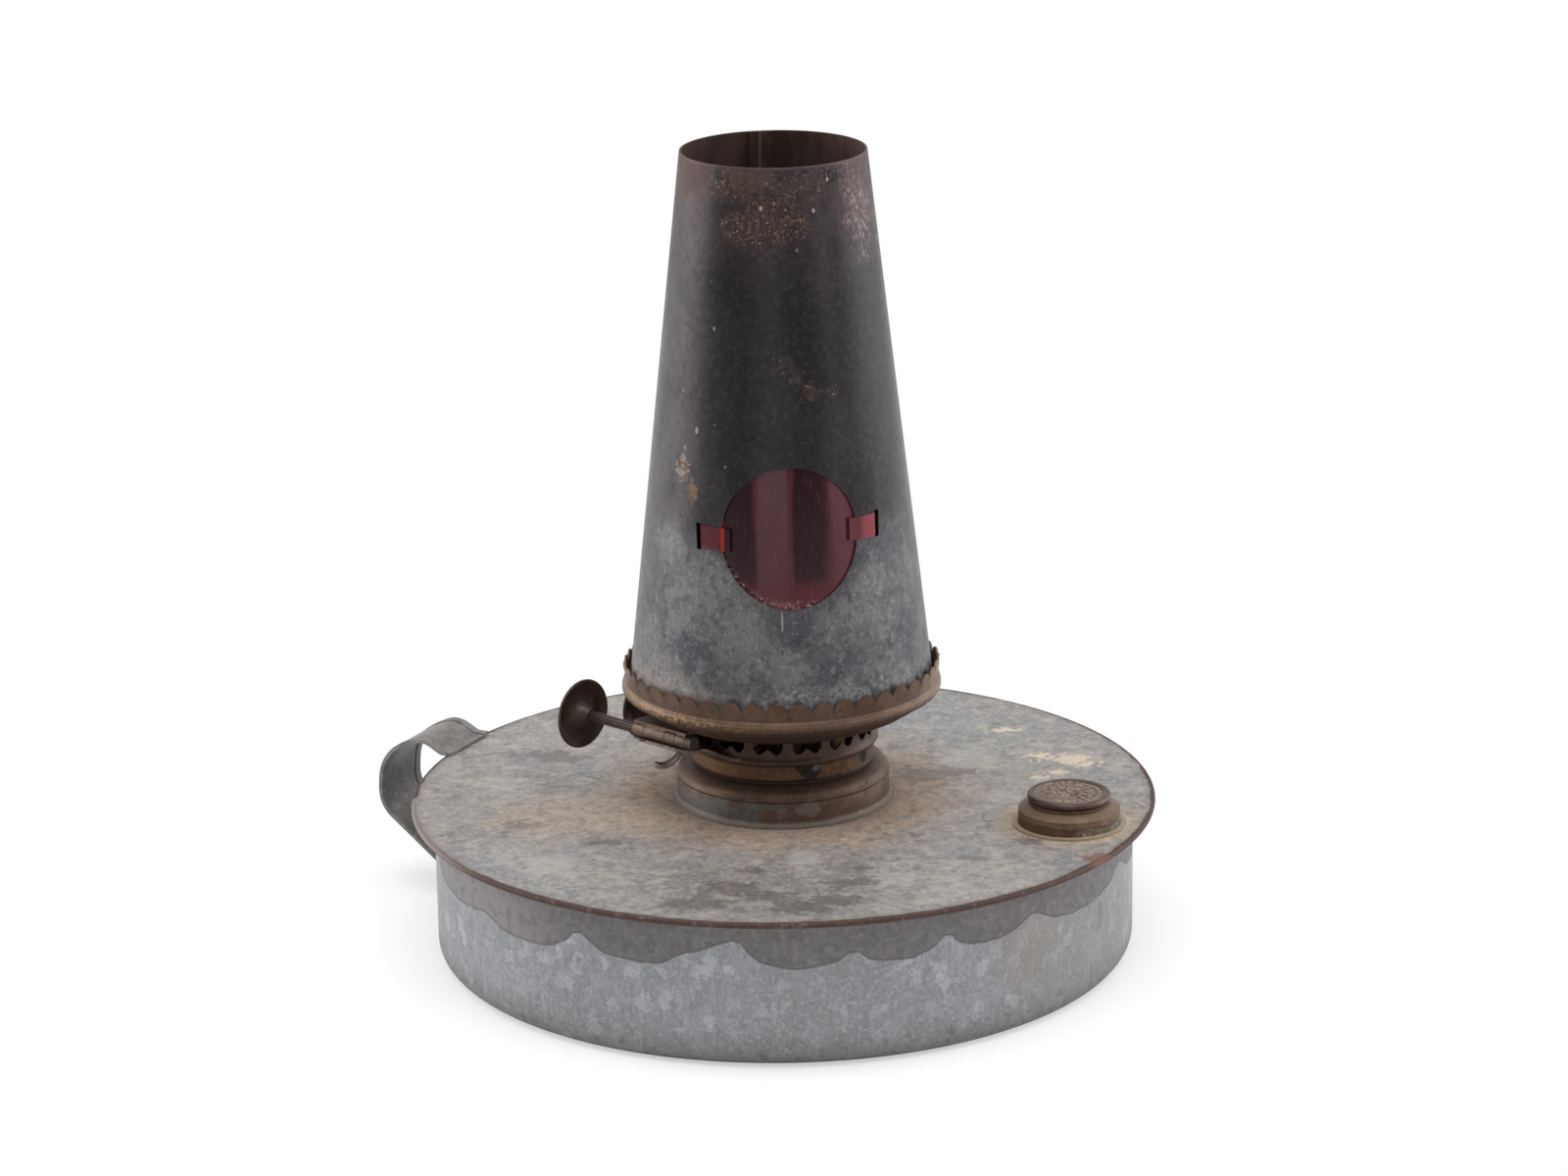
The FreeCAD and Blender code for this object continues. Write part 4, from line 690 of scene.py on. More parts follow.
@dataclass(frozen=True)
class GalleryBrass(TarnishedBrass):
    """The gallery's red-brown brass, with the fine knurl rolled round its bead, a painted highlight and gold
    glints along the bead that are strongest at the front left, lighter painted flanks, and painted shade in the
    cove under the bead.
    """

    ribs: int = 300
    knurl_low_mm: float = 68.4
    knurl_high_mm: float = 69.9

    def build(self) -> bpy.types.Material:
        """Make the material.

        Returns:
            The material.
        """
        brass = self.start()
        up = brass.height()
        wave = (brass.azimuth() * (self.ribs * math.pi / 180)).step("SINE")
        low, high = self.knurl_low_mm, self.knurl_high_mm
        zone = brass.ramp(up, low - 0.2, low + 0.1) * brass.ramp(up, high + 0.2, high - 0.1)
        brass.lay(zone * brass.ramp(wave, 0.1, -0.9, 0.4), "#35241C")
        brass.press(wave * zone, 0.05)
        # Painted highlight: a light line along the bead and gold glints above it, strongest at the front left
        # where the light falls.
        bead_highlight = brass.ramp(up, 70.1, 70.3) * brass.ramp(up, 70.7, 70.5)
        lit_front_left = brass.ramp(brass.azimuth(), -95, -125)
        brass.lay(bead_highlight * (lit_front_left * 0.4 + 0.3), "#8F7059", 0.4)
        gold_highlight = lit_front_left * brass.ramp(up, 71.6, 70.6)
        brass.lay(brass.blotches(1.1, 0.57, 0.07, gold_highlight * 0.7, detail=5, shift=9), "#9A7848", 0.4)
        # Painted shade: darker in the cove under the bead.
        brass.lay(brass.ramp(up, 68.3, 66.2, 0.8), "#2F2018", 0.65)
        # Painted light: the lower bead is lighter on the flanks, away from the front.
        aside = abs(brass.azimuth() + 90)
        brass.lay(brass.ramp(aside, 48, 80, brass.ramp(up, 68.2, 69.2, 0.4)), "#8F7A6A", 0.6)
        return brass.finished()


@dataclass(frozen=True)
class BlackenedSheet:
    """Thin sheet iron, blackened by heat above the window and grey with zinc bloom below it."""

    top_mm: float = 207.5
    top_radius_mm: float = 23.3
    slope: float = 0.11203
    seam_deg: float = 98.4
    rust: tuple = (
        (1.9, -28.6, 159.9, 1.6), (5.2, -28.6, 156.4, 1.5), (8.2, -28.2, 152.6, 1.7), (13.8, -26, 151.8, 1.2))
    bloom: tuple = (
        (-14.8, -32.3, 99, 9.0), (-19, -30, 106, 6.5), (-9, -35, 90, 7.0), (20.3, -29.5, 97, 6.0),
        (24, -27, 104, 4.5),
        (11, -33, 95, 4.0), (-33, -16, 82, 8.0), (-27, -25, 76, 6.5), (2, -37, 84, 5.0), (-26, -20, 112, 5.0))
    scale_mm: tuple = (-23.8, -21.0, 132.6)
    scale_tail_mm: tuple = (-21.1, -24.3, 127.2)
    scratch_mm: tuple = (0.4, -35.8, 96.3)
    burnt_mm: tuple = (-2, -24.7, 194.5)
    crust_mm: tuple = (23.0, -11, 194.5)

    def lower_part(self, sheet: Surface, lower: Field) -> None:
        """Lay the grey zinc bloom below the window.

        Args:
            sheet: the surface under construction.
            lower: mask of the lower part.
        """
        sheet.lay(lower * 0.9, "#59575A", 0.5)
        sheet.lay(sheet.blotches(17, 0.49, 0.05, lower * 0.85, detail=5, shift=7), "#45464C", 0.44)
        sheet.lay(sheet.blotches(11, 0.55, 0.04, lower * 0.55, detail=6, shift=1), "#757271", 0.6)
        sheet.lay(sheet.blotches(4, 0.57, 0.05, lower * 0.6, detail=5, shift=15), "#3F4046", 0.5)
        for x, y, z, reach in self.bloom:
            patch = sheet.spot(x, y, z, reach, reach * 0.55, reach * 0.4, 0.6, (1, 1, 0.9))
            sheet.lay(patch * 0.8, "#706E6C", 0.64)
            sheet.lay(sheet.blotches(1.1, 0.58, 0.06, patch * 0.8, detail=5, shift=x), "#8D8A87", 0.7)
        sheet.lay(sheet.grains(2.4, 0.12, lower * 0.6, (1, 1, 1.3), 0.2), "#37363A", 0.6)
        sheet.lay(sheet.blotches(1.0, 0.6, 0.05, lower * 0.4, detail=5, shift=9), "#8A8887", 0.7)
        foot = sheet.height() + sheet.uneven(9, 7)
        sheet.lay(sheet.ramp(foot, 80, 73, 0.55), "#7E7C7C", 0.62)
        sheet.lay(sheet.blotches(1.3, 0.54, 0.07, sheet.ramp(foot, 82, 74, 0.7), detail=5, shift=21),
                  "#9B9898", 0.7)
        sheet.lay(sheet.blotches(0.8, 0.57, 0.06, sheet.ramp(foot, 84, 74, 0.6), detail=5, shift=27),
                  "#3F3E42", 0.55)

    def upper_part(self, sheet: Surface, upper: Field) -> None:
        """Lay the burnt, speckled top and its corroded edge.

        Args:
            sheet: the surface under construction.
            upper: mask of the upper part.
        """
        sheet.lay(sheet.blotches(10, 0.47, 0.12, upper * 0.6, stretch=(1, 1, 1.6)), "#433739", 0.5)
        high = sheet.ramp(sheet.height() + sheet.uneven(8, 9), 197, 204)
        sheet.lay(sheet.blotches(5, 0.47, 0.08, high * 0.65, stretch=(1.5, 1.5, 1), detail=5), "#4B3A35", 0.6)
        sheet.lay(sheet.blotches(0.8, 0.61, 0.04, high * 0.55, detail=5, shift=6), "#877A75", 0.7)
        burnt = sheet.spot(*self.burnt_mm, 10, 5, 4, 1.0, (0.9, 1, 1.8))
        sheet.lay(burnt * 0.45, "#46352F", 0.6)
        sheet.lay(sheet.blotches(0.8, 0.56, 0.05, burnt * 0.8, detail=4), "#6A5145", 0.7)
        sheet.lay(sheet.grains(0.7, 0.35, burnt * 0.8, (1, 1, 1), 0.5), "#241C1A", 0.7)
        sheet.lay(sheet.grains(0.9, 0.1, burnt, (1, 1, 1), 0.34), "#978272", 0.7)
        edge = sheet.spot(*self.crust_mm, 8.5, 6, 5, 0.85, (1, 1.2, 0.9))
        sheet.lay(sheet.blotches(3, 0.5, 0.08, edge * 0.7, stretch=(1, 1, 2)), "#5D463E", 0.6)
        sheet.lay(sheet.blotches(0.8, 0.56, 0.06, edge * 0.75, stretch=(1, 1, 1.8), detail=5, shift=2),
                  "#8B8382", 0.65)
        sheet.lay(sheet.spot(-22, -9, 201, 4, 3, 2, 0.4, (1, 1, 0.8)), "#5F463C", 0.6)
        sheet.lay(sheet.grains(3.2, 0.06, upper * 0.8, (1, 1, 1.4), 0.16), "#A79C95", 0.7)
        sheet.lay(sheet.spot(-18.9, -14.1, 204.4, 6, 3, 3, 0.7), "#4A3935", 0.6)
        sheet.lay(sheet.spot(-6.9, -22.4, 206, 5, 3, 2, 0.6), "#57433B", 0.6)

    def build(self) -> bpy.types.Material:
        """Make the material.

        Returns:
            The material.
        """
        sheet = Surface("blackened_sheet", "#2B282B", 0.36, 0.8)
        up = sheet.height()
        drift = sheet.uneven(24, 20, detail=4)
        level = up + drift
        sheet.lay(sheet.blotches(22, 0.5, 0.2, 0.5, stretch=(1, 1, 1.6)), "#201D1F", 0.32)
        sheet.lay(sheet.blotches(15, 0.56, 0.14, 0.35, stretch=(1, 1, 1.8), shift=4), "#3A373C", 0.4)
        # Painted sheen: lighter streaks over the left flank, where the light falls.
        left = sheet.ramp(sheet.across(), -8, -28, 0.5)
        sheet.lay(sheet.blotches(9, 0.42, 0.2, left, stretch=(1, 1, 2.4), shift=11), "#575256", 0.42)
        self.lower_part(sheet, sheet.ramp(level, 120, 98))
        self.upper_part(sheet, sheet.ramp(level, 172, 202))
        for x, y, z, reach in self.rust:
            sheet.lay(sheet.spot(x, y, z, reach, reach * 1.3, 0.9, 0.6), "#483833", 0.65)
            sheet.lay(sheet.grains(0.8, 0.2, sheet.spot(x, y, z, reach + 1.0, reach, 1.2), (1, 1, 1), 0.34),
                      "#80695C", 0.7)
        scale = sheet.spot(*self.scale_mm, 2.5, 2.6, 0.6, 1.0, (1.2, 1.2, 0.75))
        sheet.lay(scale, "#8E8780", 0.8)
        sheet.lay(sheet.blotches(1.4, 0.52, 0.06, scale), "#6A4F3C", 0.8)
        sheet.lay(sheet.spot(*self.scale_tail_mm, 1.5, 1.6, 0.5, 0.9, (1.2, 1.2, 0.7)), "#7E6551", 0.8)
        side = sheet.ramp(sheet.azimuth(), -100, -128, sheet.ramp(up, 84, 75))
        sheet.lay(sheet.blotches(5, 0.46, 0.14, side * 0.6, detail=5, shift=25), "#978D86", 0.75)
        scratch = sheet.spot(*self.scratch_mm, 2.6, 0.2, 0.4, 0.9, (9, 1, 1))
        sheet.lay(scratch, "#8E877B", 0.6)
        sheet.lay(sheet.blotches(2.2, 0.56, 0.07, 0.3, detail=5, shift=31), "#1C1A1C", 0.5)
        sheet.lay(sheet.blotches(1.4, 0.56, 0.1, 0.1, detail=5, shift=35), "#6A6461", 0.6)
        sheet.lay(sheet.grains(2.6, 0.1, 0.5, (1, 1, 1.4), 0.15), "#8F8886", 0.7)
        sheet.lay(sheet.grains(5, 0.1, 0.6, (1, 1, 1.8), 0.12), "#9B9390", 0.7)
        sheet.lay(sheet.ramp(up, self.top_mm - 1.0, self.top_mm - 0.2, 0.6), "#4F4344", 0.5)
        tapered = (up - self.top_mm) * self.slope
        inside = sheet.ramp(sheet.radius() + tapered, self.top_radius_mm - 0.2, self.top_radius_mm - 0.35)
        sheet.lay(inside, "#5E4A44", 0.7)
        sheet.lay(sheet.blotches(6, 0.5, 0.1, inside * 0.7, stretch=(1, 1, 3)), "#453632", 0.7)
        off_seam = abs(sheet.azimuth() - self.seam_deg)
        sheet.lay(sheet.ramp(off_seam, 0.75, 0.45, inside * 0.8), "#8D7C74", 0.6)
        sheet.press(sheet.cloud(34, detail=1, stretch=(1, 1, 1.6)), 0.5)
        sheet.press(sheet.cloud(1.2, detail=4), 0.016)
        sheet.press(scale, 0.12)
        return sheet.finished()


@dataclass(frozen=True)
class RedMica:
    """Red transparent mica before a dark flue: deep maroon, glossy, with painted reflections in vertical dark and
    lighter bands, and scratches and crumbs along its foot.
    """

    centre_mm: tuple = (2.4, 116.7)

    def build(self) -> bpy.types.Material:
        """Make the material.

        Returns:
            The material.
        """
        pane = Surface("red_pane", "#4E1F28", 0.1, 0.0)
        up = pane.height()
        wide = pane.across()
        bent = wide + pane.uneven(12, 3, stretch=(1, 1, 3))
        # Painted reflection: two dark vertical bands across the pane.
        for start, full, falls, end in ((-15.8, -13.2, -7.2, -5.6), (3.0, 4.4, 10, 13.6)):
            band = pane.ramp(bent, start, full) * pane.ramp(bent, end, falls)
            high = pane.ramp(up, 101 if start > 0 else 99, 108 if start > 0 else 103)
            pane.lay(band * high * 0.85, "#140309", 0.1)
        # Painted reflection: a lighter band between the two dark ones.
        middle = pane.ramp(bent, -6.2, -5.2) * pane.ramp(bent, 4.0, 3.0)
        pane.lay(middle * 0.9, "#482129", 0.1)
        pane.lay(pane.ramp(up, 109, 101, 0.7), "#4D161E", 0.14)
        # Painted reflection: lighter towards the pane's right edge.
        pane.lay(pane.ramp(bent, 12.5, 17, pane.ramp(up, 100, 108, 0.5)), "#5A2731", 0.16)
        tabs = abs(wide - 2.9).step("GREATER_THAN", 16.4)
        high_tab = pane.ramp(up, 108, 109)
        tab = tabs * high_tab
        pane.lay(tab * 0.9, "#56191F", 0.3)
        pane.lay(pane.blotches(4, 0.5, 0.1, tab * 0.5), "#44161C", 0.4)
        pane.lay(pane.ramp(wide, 19.5, 21.5, tab * 0.5), "#A04049", 0.35)
        pane.lay(pane.ramp(abs(wide + 14.0), 0.6, 0.1, pane.ramp(up, 108, 109.5, 0.8)), "#A3101B", 0.25)
        dx = wide - self.centre_mm[0]
        dz = up - self.centre_mm[1]
        out = (dx * dx + dz * dz).step("SQRT")
        low_left = pane.ramp(dx + dz, -6, -18) * pane.ramp(out, 14.5, 19.0)
        foot = pane.ramp(dz, -14.5, -18.5) * pane.ramp(dx, 10, 6)
        crumbs = low_left.step("MAXIMUM", foot) * pane.ramp(dz, -2, -5)
        pane.lay(pane.blotches(1.7, 0.53, 0.05, crumbs * 0.8, detail=5), "#8C5F58", 0.7)
        pane.lay(pane.blotches(0.9, 0.6, 0.04, crumbs * 0.9, detail=4, shift=5), "#CBAE9F", 0.7)
        pane.lay(pane.blotches(0.45, 0.64, 0.03, 0.15, stretch=(1, 1, 16), detail=2), "#7E5158", 0.3)
        pane.lay(pane.blotches(0.45, 0.65, 0.03, 0.05, stretch=(14, 1, 1), detail=2, shift=4), "#7E5158", 0.3)
        pane.lay(pane.grains(4.2, 0.06, 0.6, (1, 1, 1), 0.08), "#A98F90", 0.5)
        pane.press(pane.cloud(26, detail=1), 0.1)
        pane.shader.inputs["Transmission Weight"].default_value = 0.2
        pane.shader.inputs["Specular IOR Level"].default_value = 0.15
        pane.shader.inputs["IOR"].default_value = 1.56
        return pane.finished()


@dataclass(frozen=True)
class WovenCotton:
    """Flat woven cotton wick: ribs of thick yarn across it, cream below and charred at its lit edge."""

    yarn_mm: float = 1.1
    lit_edge_mm: float = 83.3

    def build(self) -> bpy.types.Material:
        """Make the material.

        Returns:
            The material.
        """
        wick = Surface("woven_cotton", "#B4A78C", 0.9, 0.0)
        up = wick.height()
        ribs = (up * (FULL_TURN / self.yarn_mm)).step("SINE")
        wick.lay(wick.ramp(ribs, 0.2, -0.9, 0.5), "#82755C")
        wick.lay(wick.blotches(6, 0.5, 0.1, 0.5), "#93856A")
        wick.lay(wick.ramp(up, self.lit_edge_mm - 9, self.lit_edge_mm - 3, 0.8), "#5A4A38")
        wick.lay(wick.ramp(up, self.lit_edge_mm - 3.5, self.lit_edge_mm - 0.8), "#1B1613")
        wick.press(ribs, 0.15)
        wick.press(wick.cloud(0.5, detail=2), 0.1)
        return wick.finished()


@dataclass(frozen=True)
class SealStuff:
    """A seal's cork or oiled leather: dull, fine-grained and dark with fuel."""

    name: str
    ground: str
    fleck: str

    def build(self) -> bpy.types.Material:
        """Make the material.

        Returns:
            The material.
        """
        seal = Surface(self.name, self.ground, 0.85, 0.0)
        seal.lay(seal.blotches(1.2, 0.55, 0.06, 0.7), self.fleck)
        seal.lay(seal.grains(1.0, 0.2, 0.6), self.fleck)
        seal.press(seal.cloud(0.7), 0.08)
        return seal.finished()


class Finish(Enum):
    """The lamp's finishes, one for each of its materials."""

    WALL = HotDipWall()
    TOP = SoiledTop()
    STRAP = DulledStrap()
    COLLAR = CollarBrass("collar_brass", "#4B3729", "#3C2B20", "#594232", "#65564A", roughness=0.5, dusty=0.3)
    FILLER = FillerBrass("filler_brass", "#6B5543", "#4B3526", "#8A6C44", "#94877A")
    CAP = CapBrass("cap_brass", "#45322A", "#33241E", "#553F34", "#635248", roughness=0.42, dusty=0.15)
    RING = RingBrass("ring_brass", "#4C3220", "#352214", "#5F3F24", "#59452F", roughness=0.48, dusty=0.2)
    BASKET = TarnishedBrass("basket_brass", "#3E2B1F", "#291B13", "#52392A", "#4E3E31", roughness=0.46,
                            dusty=0.2)
    GALLERY = GalleryBrass("gallery_brass", "#4E382B", "#3C291F", "#614534", "#6B5848", roughness=0.46,
                           dusty=0.25)
    DOME = TarnishedBrass("dome_brass", "#6A5236", "#3B2C20", "#86693F", "#5A4C40")
    INNER = TarnishedBrass("inner_brass", "#8A6C4C", "#5E4631", "#A08254", "#7B6A58")
    HINGE = TarnishedBrass("hinge_brass", "#655247", "#4A3A30", "#766350", "#7F7266", roughness=0.48,
                           blotch_mm=2.5, dusty=0.3)
    WHEEL = TarnishedBrass("wheel_bronze", "#45372F", "#332822", "#55453B", "#6A5D53", roughness=0.48,
                           dusty=0.16)
    SPRING = TarnishedBrass("spring_steel", "#6E6158", "#564A42", "#85786E", "#8D8278", roughness=0.42,
                            dusty=0.25)
    CHIMNEY = BlackenedSheet()
    PANE = RedMica()
    WICK = WovenCotton()
    CORK = SealStuff("cork_seal", "#5A4230", "#3A291C")
    LEATHER = SealStuff("leather_seal", "#2B1D15", "#1A120D")

    def material(self) -> bpy.types.Material:
        """The finish's material, made the first time it is asked for.

        Returns:
            The material.
        """
        made = MATERIALS.get(self.name)
        if made is None:
            made = MATERIALS[self.name] = self.value.build()
        return made


MATERIALS: dict[str, bpy.types.Material] = {}


def dress(node: str, finish: Finish) -> None:
    """Give a CAD node its finish.

    Args:
        node: the node's name.
        finish: the finish.
    """
    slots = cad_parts[node].data.materials
    for index in range(len(slots)):
        slots[index] = finish.material()
    if not slots:
        slots.append(finish.material())
    log.info("%s wears %s", node, finish.name.lower())


def spun(profile: list[tuple[float, float]], steps: int, closed: bool = True) -> bmesh.types.BMesh:
    """Spin a profile about the upright axis.

    Args:
        profile: radius and height of each corner, in millimetres.
        steps: how many steps a turn has.
        closed: whether the last corner joins the first.

    Returns:
        The spun mesh, in metres.
    """
    mesh = bmesh.new()
    corners = [mesh.verts.new((radius * MM, 0, height * MM)) for radius, height in profile]
    pairs = list(zip(corners, corners[1:]))
    if closed:
        pairs.append((corners[-1], corners[0]))
    edges = [mesh.edges.new(pair) for pair in pairs]
    bmesh.ops.spin(mesh, geom=corners + edges, cent=(0, 0, 0), axis=(0, 0, 1), angle=FULL_TURN, steps=steps,
                   use_merge=True, use_duplicate=False)
    bmesh.ops.remove_doubles(mesh, verts=mesh.verts[:], dist=1e-6)
    bmesh.ops.recalc_face_normals(mesh, faces=mesh.faces[:])
    return mesh


def arc(radius_mm: float, start_deg: float, end_deg: float, steps: int) -> list[tuple[float, float]]:
    """Points along an arc about the middle.

    Args:
        radius_mm: its radius.
        start_deg: angle of its first point.
        end_deg: angle of its last point.
        steps: how many steps it has.

    Returns:
        Both coordinates of each point.
    """
    turns = [math.radians(start_deg + (end_deg - start_deg) * step / steps) for step in range(steps + 1)]
    return [(radius_mm * math.cos(turn), radius_mm * math.sin(turn)) for turn in turns]


def place(mesh: bmesh.types.BMesh, turn_deg: float = 0, at_mm: tuple = (0, 0, 0)) -> bmesh.types.BMesh:
    """Turn a mesh about the upright axis and move it.

    Args:
        mesh: the mesh.
        turn_deg: the turn in degrees.
        at_mm: where it goes, in millimetres.

    Returns:
        The same mesh.
    """
    move = Matrix.Translation(Vector(at_mm) * MM) @ Matrix.Rotation(math.radians(turn_deg), 4, "Z")
    bmesh.ops.transform(mesh, matrix=move, verts=mesh.verts[:])
    return mesh


def settle(mesh: bmesh.types.BMesh, name: str, body: str, finish: Finish, node: str,
           crease_deg: float = 38) -> None:
    """Turn a finished mesh into a piece that rides on its body.

    Args:
        mesh: the mesh, which is used up.
        name: the piece's name.
        body: the body that it rides on.
        finish: the finish that it wears.
        node: the CAD node that it stands for.
        crease_deg: edges sharper than this stay crisp.
    """
    for edge in mesh.edges:
        edge.smooth = not edge.is_manifold or edge.calc_face_angle(0) < math.radians(crease_deg)
    for face in mesh.faces:
        face.smooth = True
    data = bpy.data.meshes.new(name)
    mesh.to_mesh(data)
    mesh.free()
    data.materials.append(finish.material())
    piece = bpy.data.objects.new(name, data)
    bpy.context.scene.collection.objects.link(piece)
    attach(piece, body)
    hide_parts(node)
    log.info("%s: %d faces on %s", name, len(data.polygons), body)


def joined(*parts: bmesh.types.BMesh) -> bmesh.types.BMesh:
    """Put several meshes into the first one.

    Args:
        parts: the meshes; all but the first are used up.

    Returns:
        The first mesh.
    """
    for part in parts[1:]:
        data = bpy.data.meshes.new("part")
        part.to_mesh(data)
        part.free()
        parts[0].from_mesh(data)
        bpy.data.meshes.remove(data)
    return parts[0]


def netted(rows: list[list[tuple[float, float, float]]], around: bool = False,
           holes: set = frozenset()) -> bmesh.types.BMesh:
    """Span a net of faces over rows of points.

    Args:
        rows: rows of points in millimetres, all of one length.
        around: whether each row closes on itself.
        holes: (row, column) of each face left out.

    Returns:
        The mesh, in metres, with its normals made alike.
    """
    mesh = bmesh.new()
    grid = [[mesh.verts.new(Vector(point) * MM) for point in row] for row in rows]
    long = len(rows[0])
    for low, (first, second) in enumerate(zip(grid, grid[1:])):
        for column in range(long if around else long - 1):
            if (low, column) not in holes:
                after = (column + 1) % long
                mesh.faces.new((first[column], first[after], second[after], second[column]))
    bmesh.ops.delete(mesh, geom=[vert for vert in mesh.verts if not vert.link_faces], context="VERTS")
    bmesh.ops.recalc_face_normals(mesh, faces=mesh.faces[:])
    return mesh


def thickened(mesh: bmesh.types.BMesh, thickness_mm: float) -> bmesh.types.BMesh:
    """Give a sheet its thickness.

    Args:
        mesh: the sheet.
        thickness_mm: its thickness, below 0 on the other side.

    Returns:
        The same mesh, closed.
    """
    bmesh.ops.solidify(mesh, geom=mesh.faces[:], thickness=thickness_mm * MM)
    bmesh.ops.recalc_face_normals(mesh, faces=mesh.faces[:])
    return mesh


@dataclass
class Tank:
    """The galvanised tank with its handle and the burner's collar."""

    collar_steps: int = 192

    def collar(self) -> None:
        """Spin the collar: outside a dusty foot, a band and a rounded shoulder, inside the threaded neck."""
        outer = [(28.5, 39.6), (28.5, 39.9), (27.9, 40.1), (27.4, 40.6), (27.2, 41.4), (27.15, 45.4),
                 (26.95, 45.75),
                 (27.15, 46.1), (27.0, 47.0), (26.4, 47.9), (25.3, 48.7), (23.8, 49.2), (22.6, 49.4)]
        inner = [(22.25, 49.2), (22.25, 38.9), (22.85, 38.9), (22.85, 48.6), (25.0, 48.1), (26.3, 47.0),
                 (26.55, 46.3),
                 (26.5, 42.0), (27.0, 40.6), (27.9, 40.0), (27.9, 39.6)]
        settle(spun(outer + inner, self.collar_steps), "spun_collar", "tank", Finish.COLLAR,
               "burner_collar")

    def build(self) -> None:
        """Make the collar, and dress the tank's sheets."""
        dress("tank_wall", Finish.WALL)
        dress("tank_bottom", Finish.WALL)
        dress("tank_top", Finish.TOP)
        dress("handle_strap", Finish.STRAP)
        self.collar()


@dataclass
class Filler:
    """The filler's neck, seal and screw cap."""

    seal_foot_mm: float = 45.2
    cap_foot_mm: float = 45.9
    cap_radius_mm: float = 10.6
    rim_height_mm: float = 1.9
    face_radius_mm: float = 8.4
    plug_radius_mm: float = 7.65
    plug_length_mm: float = 5.5
    sheet_mm: float = 0.5
    petals: int = 12
    beads: int = 24

    def seal(self) -> None:
        """The cork ring under the cap."""
        foot = self.seal_foot_mm
        ring = spun([(8.0, foot), (10.1, foot), (10.25, foot + 0.3), (10.1, foot + 0.6), (8.0, foot + 0.6)], 96)
        settle(place(ring, at_mm=(*FILLER_AT_MM, 0)), "cork_ring", "cap_seal", Finish.CORK,
               "cap_washer")

    def cap(self) -> None:
        """The stamped cap: a thick rolled rim, a sunk face, and a plug below."""
        foot = self.cap_foot_mm
        edge = self.cap_radius_mm
        round_mm = self.rim_height_mm / 2
        roll = [(edge - round_mm + across, foot + round_mm + up) for across, up in arc(round_mm, -90, 90, 12)]
        top = foot + self.rim_height_mm
        face = top - 0.24
        plug, end = self.plug_radius_mm, foot - self.plug_length_mm
        below = [(0, foot), (plug - self.sheet_mm, foot), (plug - self.sheet_mm, end), (plug, end),
                 (plug, foot)]
        sunk = [(self.face_radius_mm + out, top - drop)
                for out, drop in ((0.75, 0), (0.3, 0.12), (0.1, 0.4), (-0.2, 0.42), (-0.6, 0.3), (-1.4, 0.24))]
        mesh = spun(below + roll + sunk + [(0, face)], 128)
        self.rosette(mesh, face)
        settle(place(mesh, at_mm=(*FILLER_AT_MM, 0)), "screw_cap", "cap", Finish.CAP, "filler_cap")

    def rosette(self, mesh: bmesh.types.BMesh, face_mm: float) -> None:
        """Stamp a plain rosette of petals and beads on the cap's face.

        Args:
            mesh: the cap's mesh.
            face_mm: height of the face.
        """
        rings = ((self.petals, 4.7, 0, (1.3, 0.55, 0.3)), (self.petals, 2.4, 0.5, (0.9, 0.42, 0.28)),
                 (self.beads, 6.9, 0, (0.42, 0.3, 0.24)), (self.beads, 5.9, 0, (0.26, 0.26, 0.2)),
                 (1, 0, 0.5, (0.8, 0.8, 0.35)))
        for count, out, shift, size in rings:
            for step in range(count):
                turn = Matrix.Rotation(FULL_TURN * (step + shift) / count, 4, "Z")
                spot = turn @ Matrix.Translation(Vector((out, 0, face_mm)) * MM) @ Matrix.Diagonal((*size, 1))
                bmesh.ops.create_icosphere(mesh, subdivisions=2, radius=MM, matrix=spot)

    def build(self) -> None:
        """Make the seal and the cap, and dress the neck."""
        dress("filler_neck", Finish.FILLER)
        self.seal()
        self.cap()


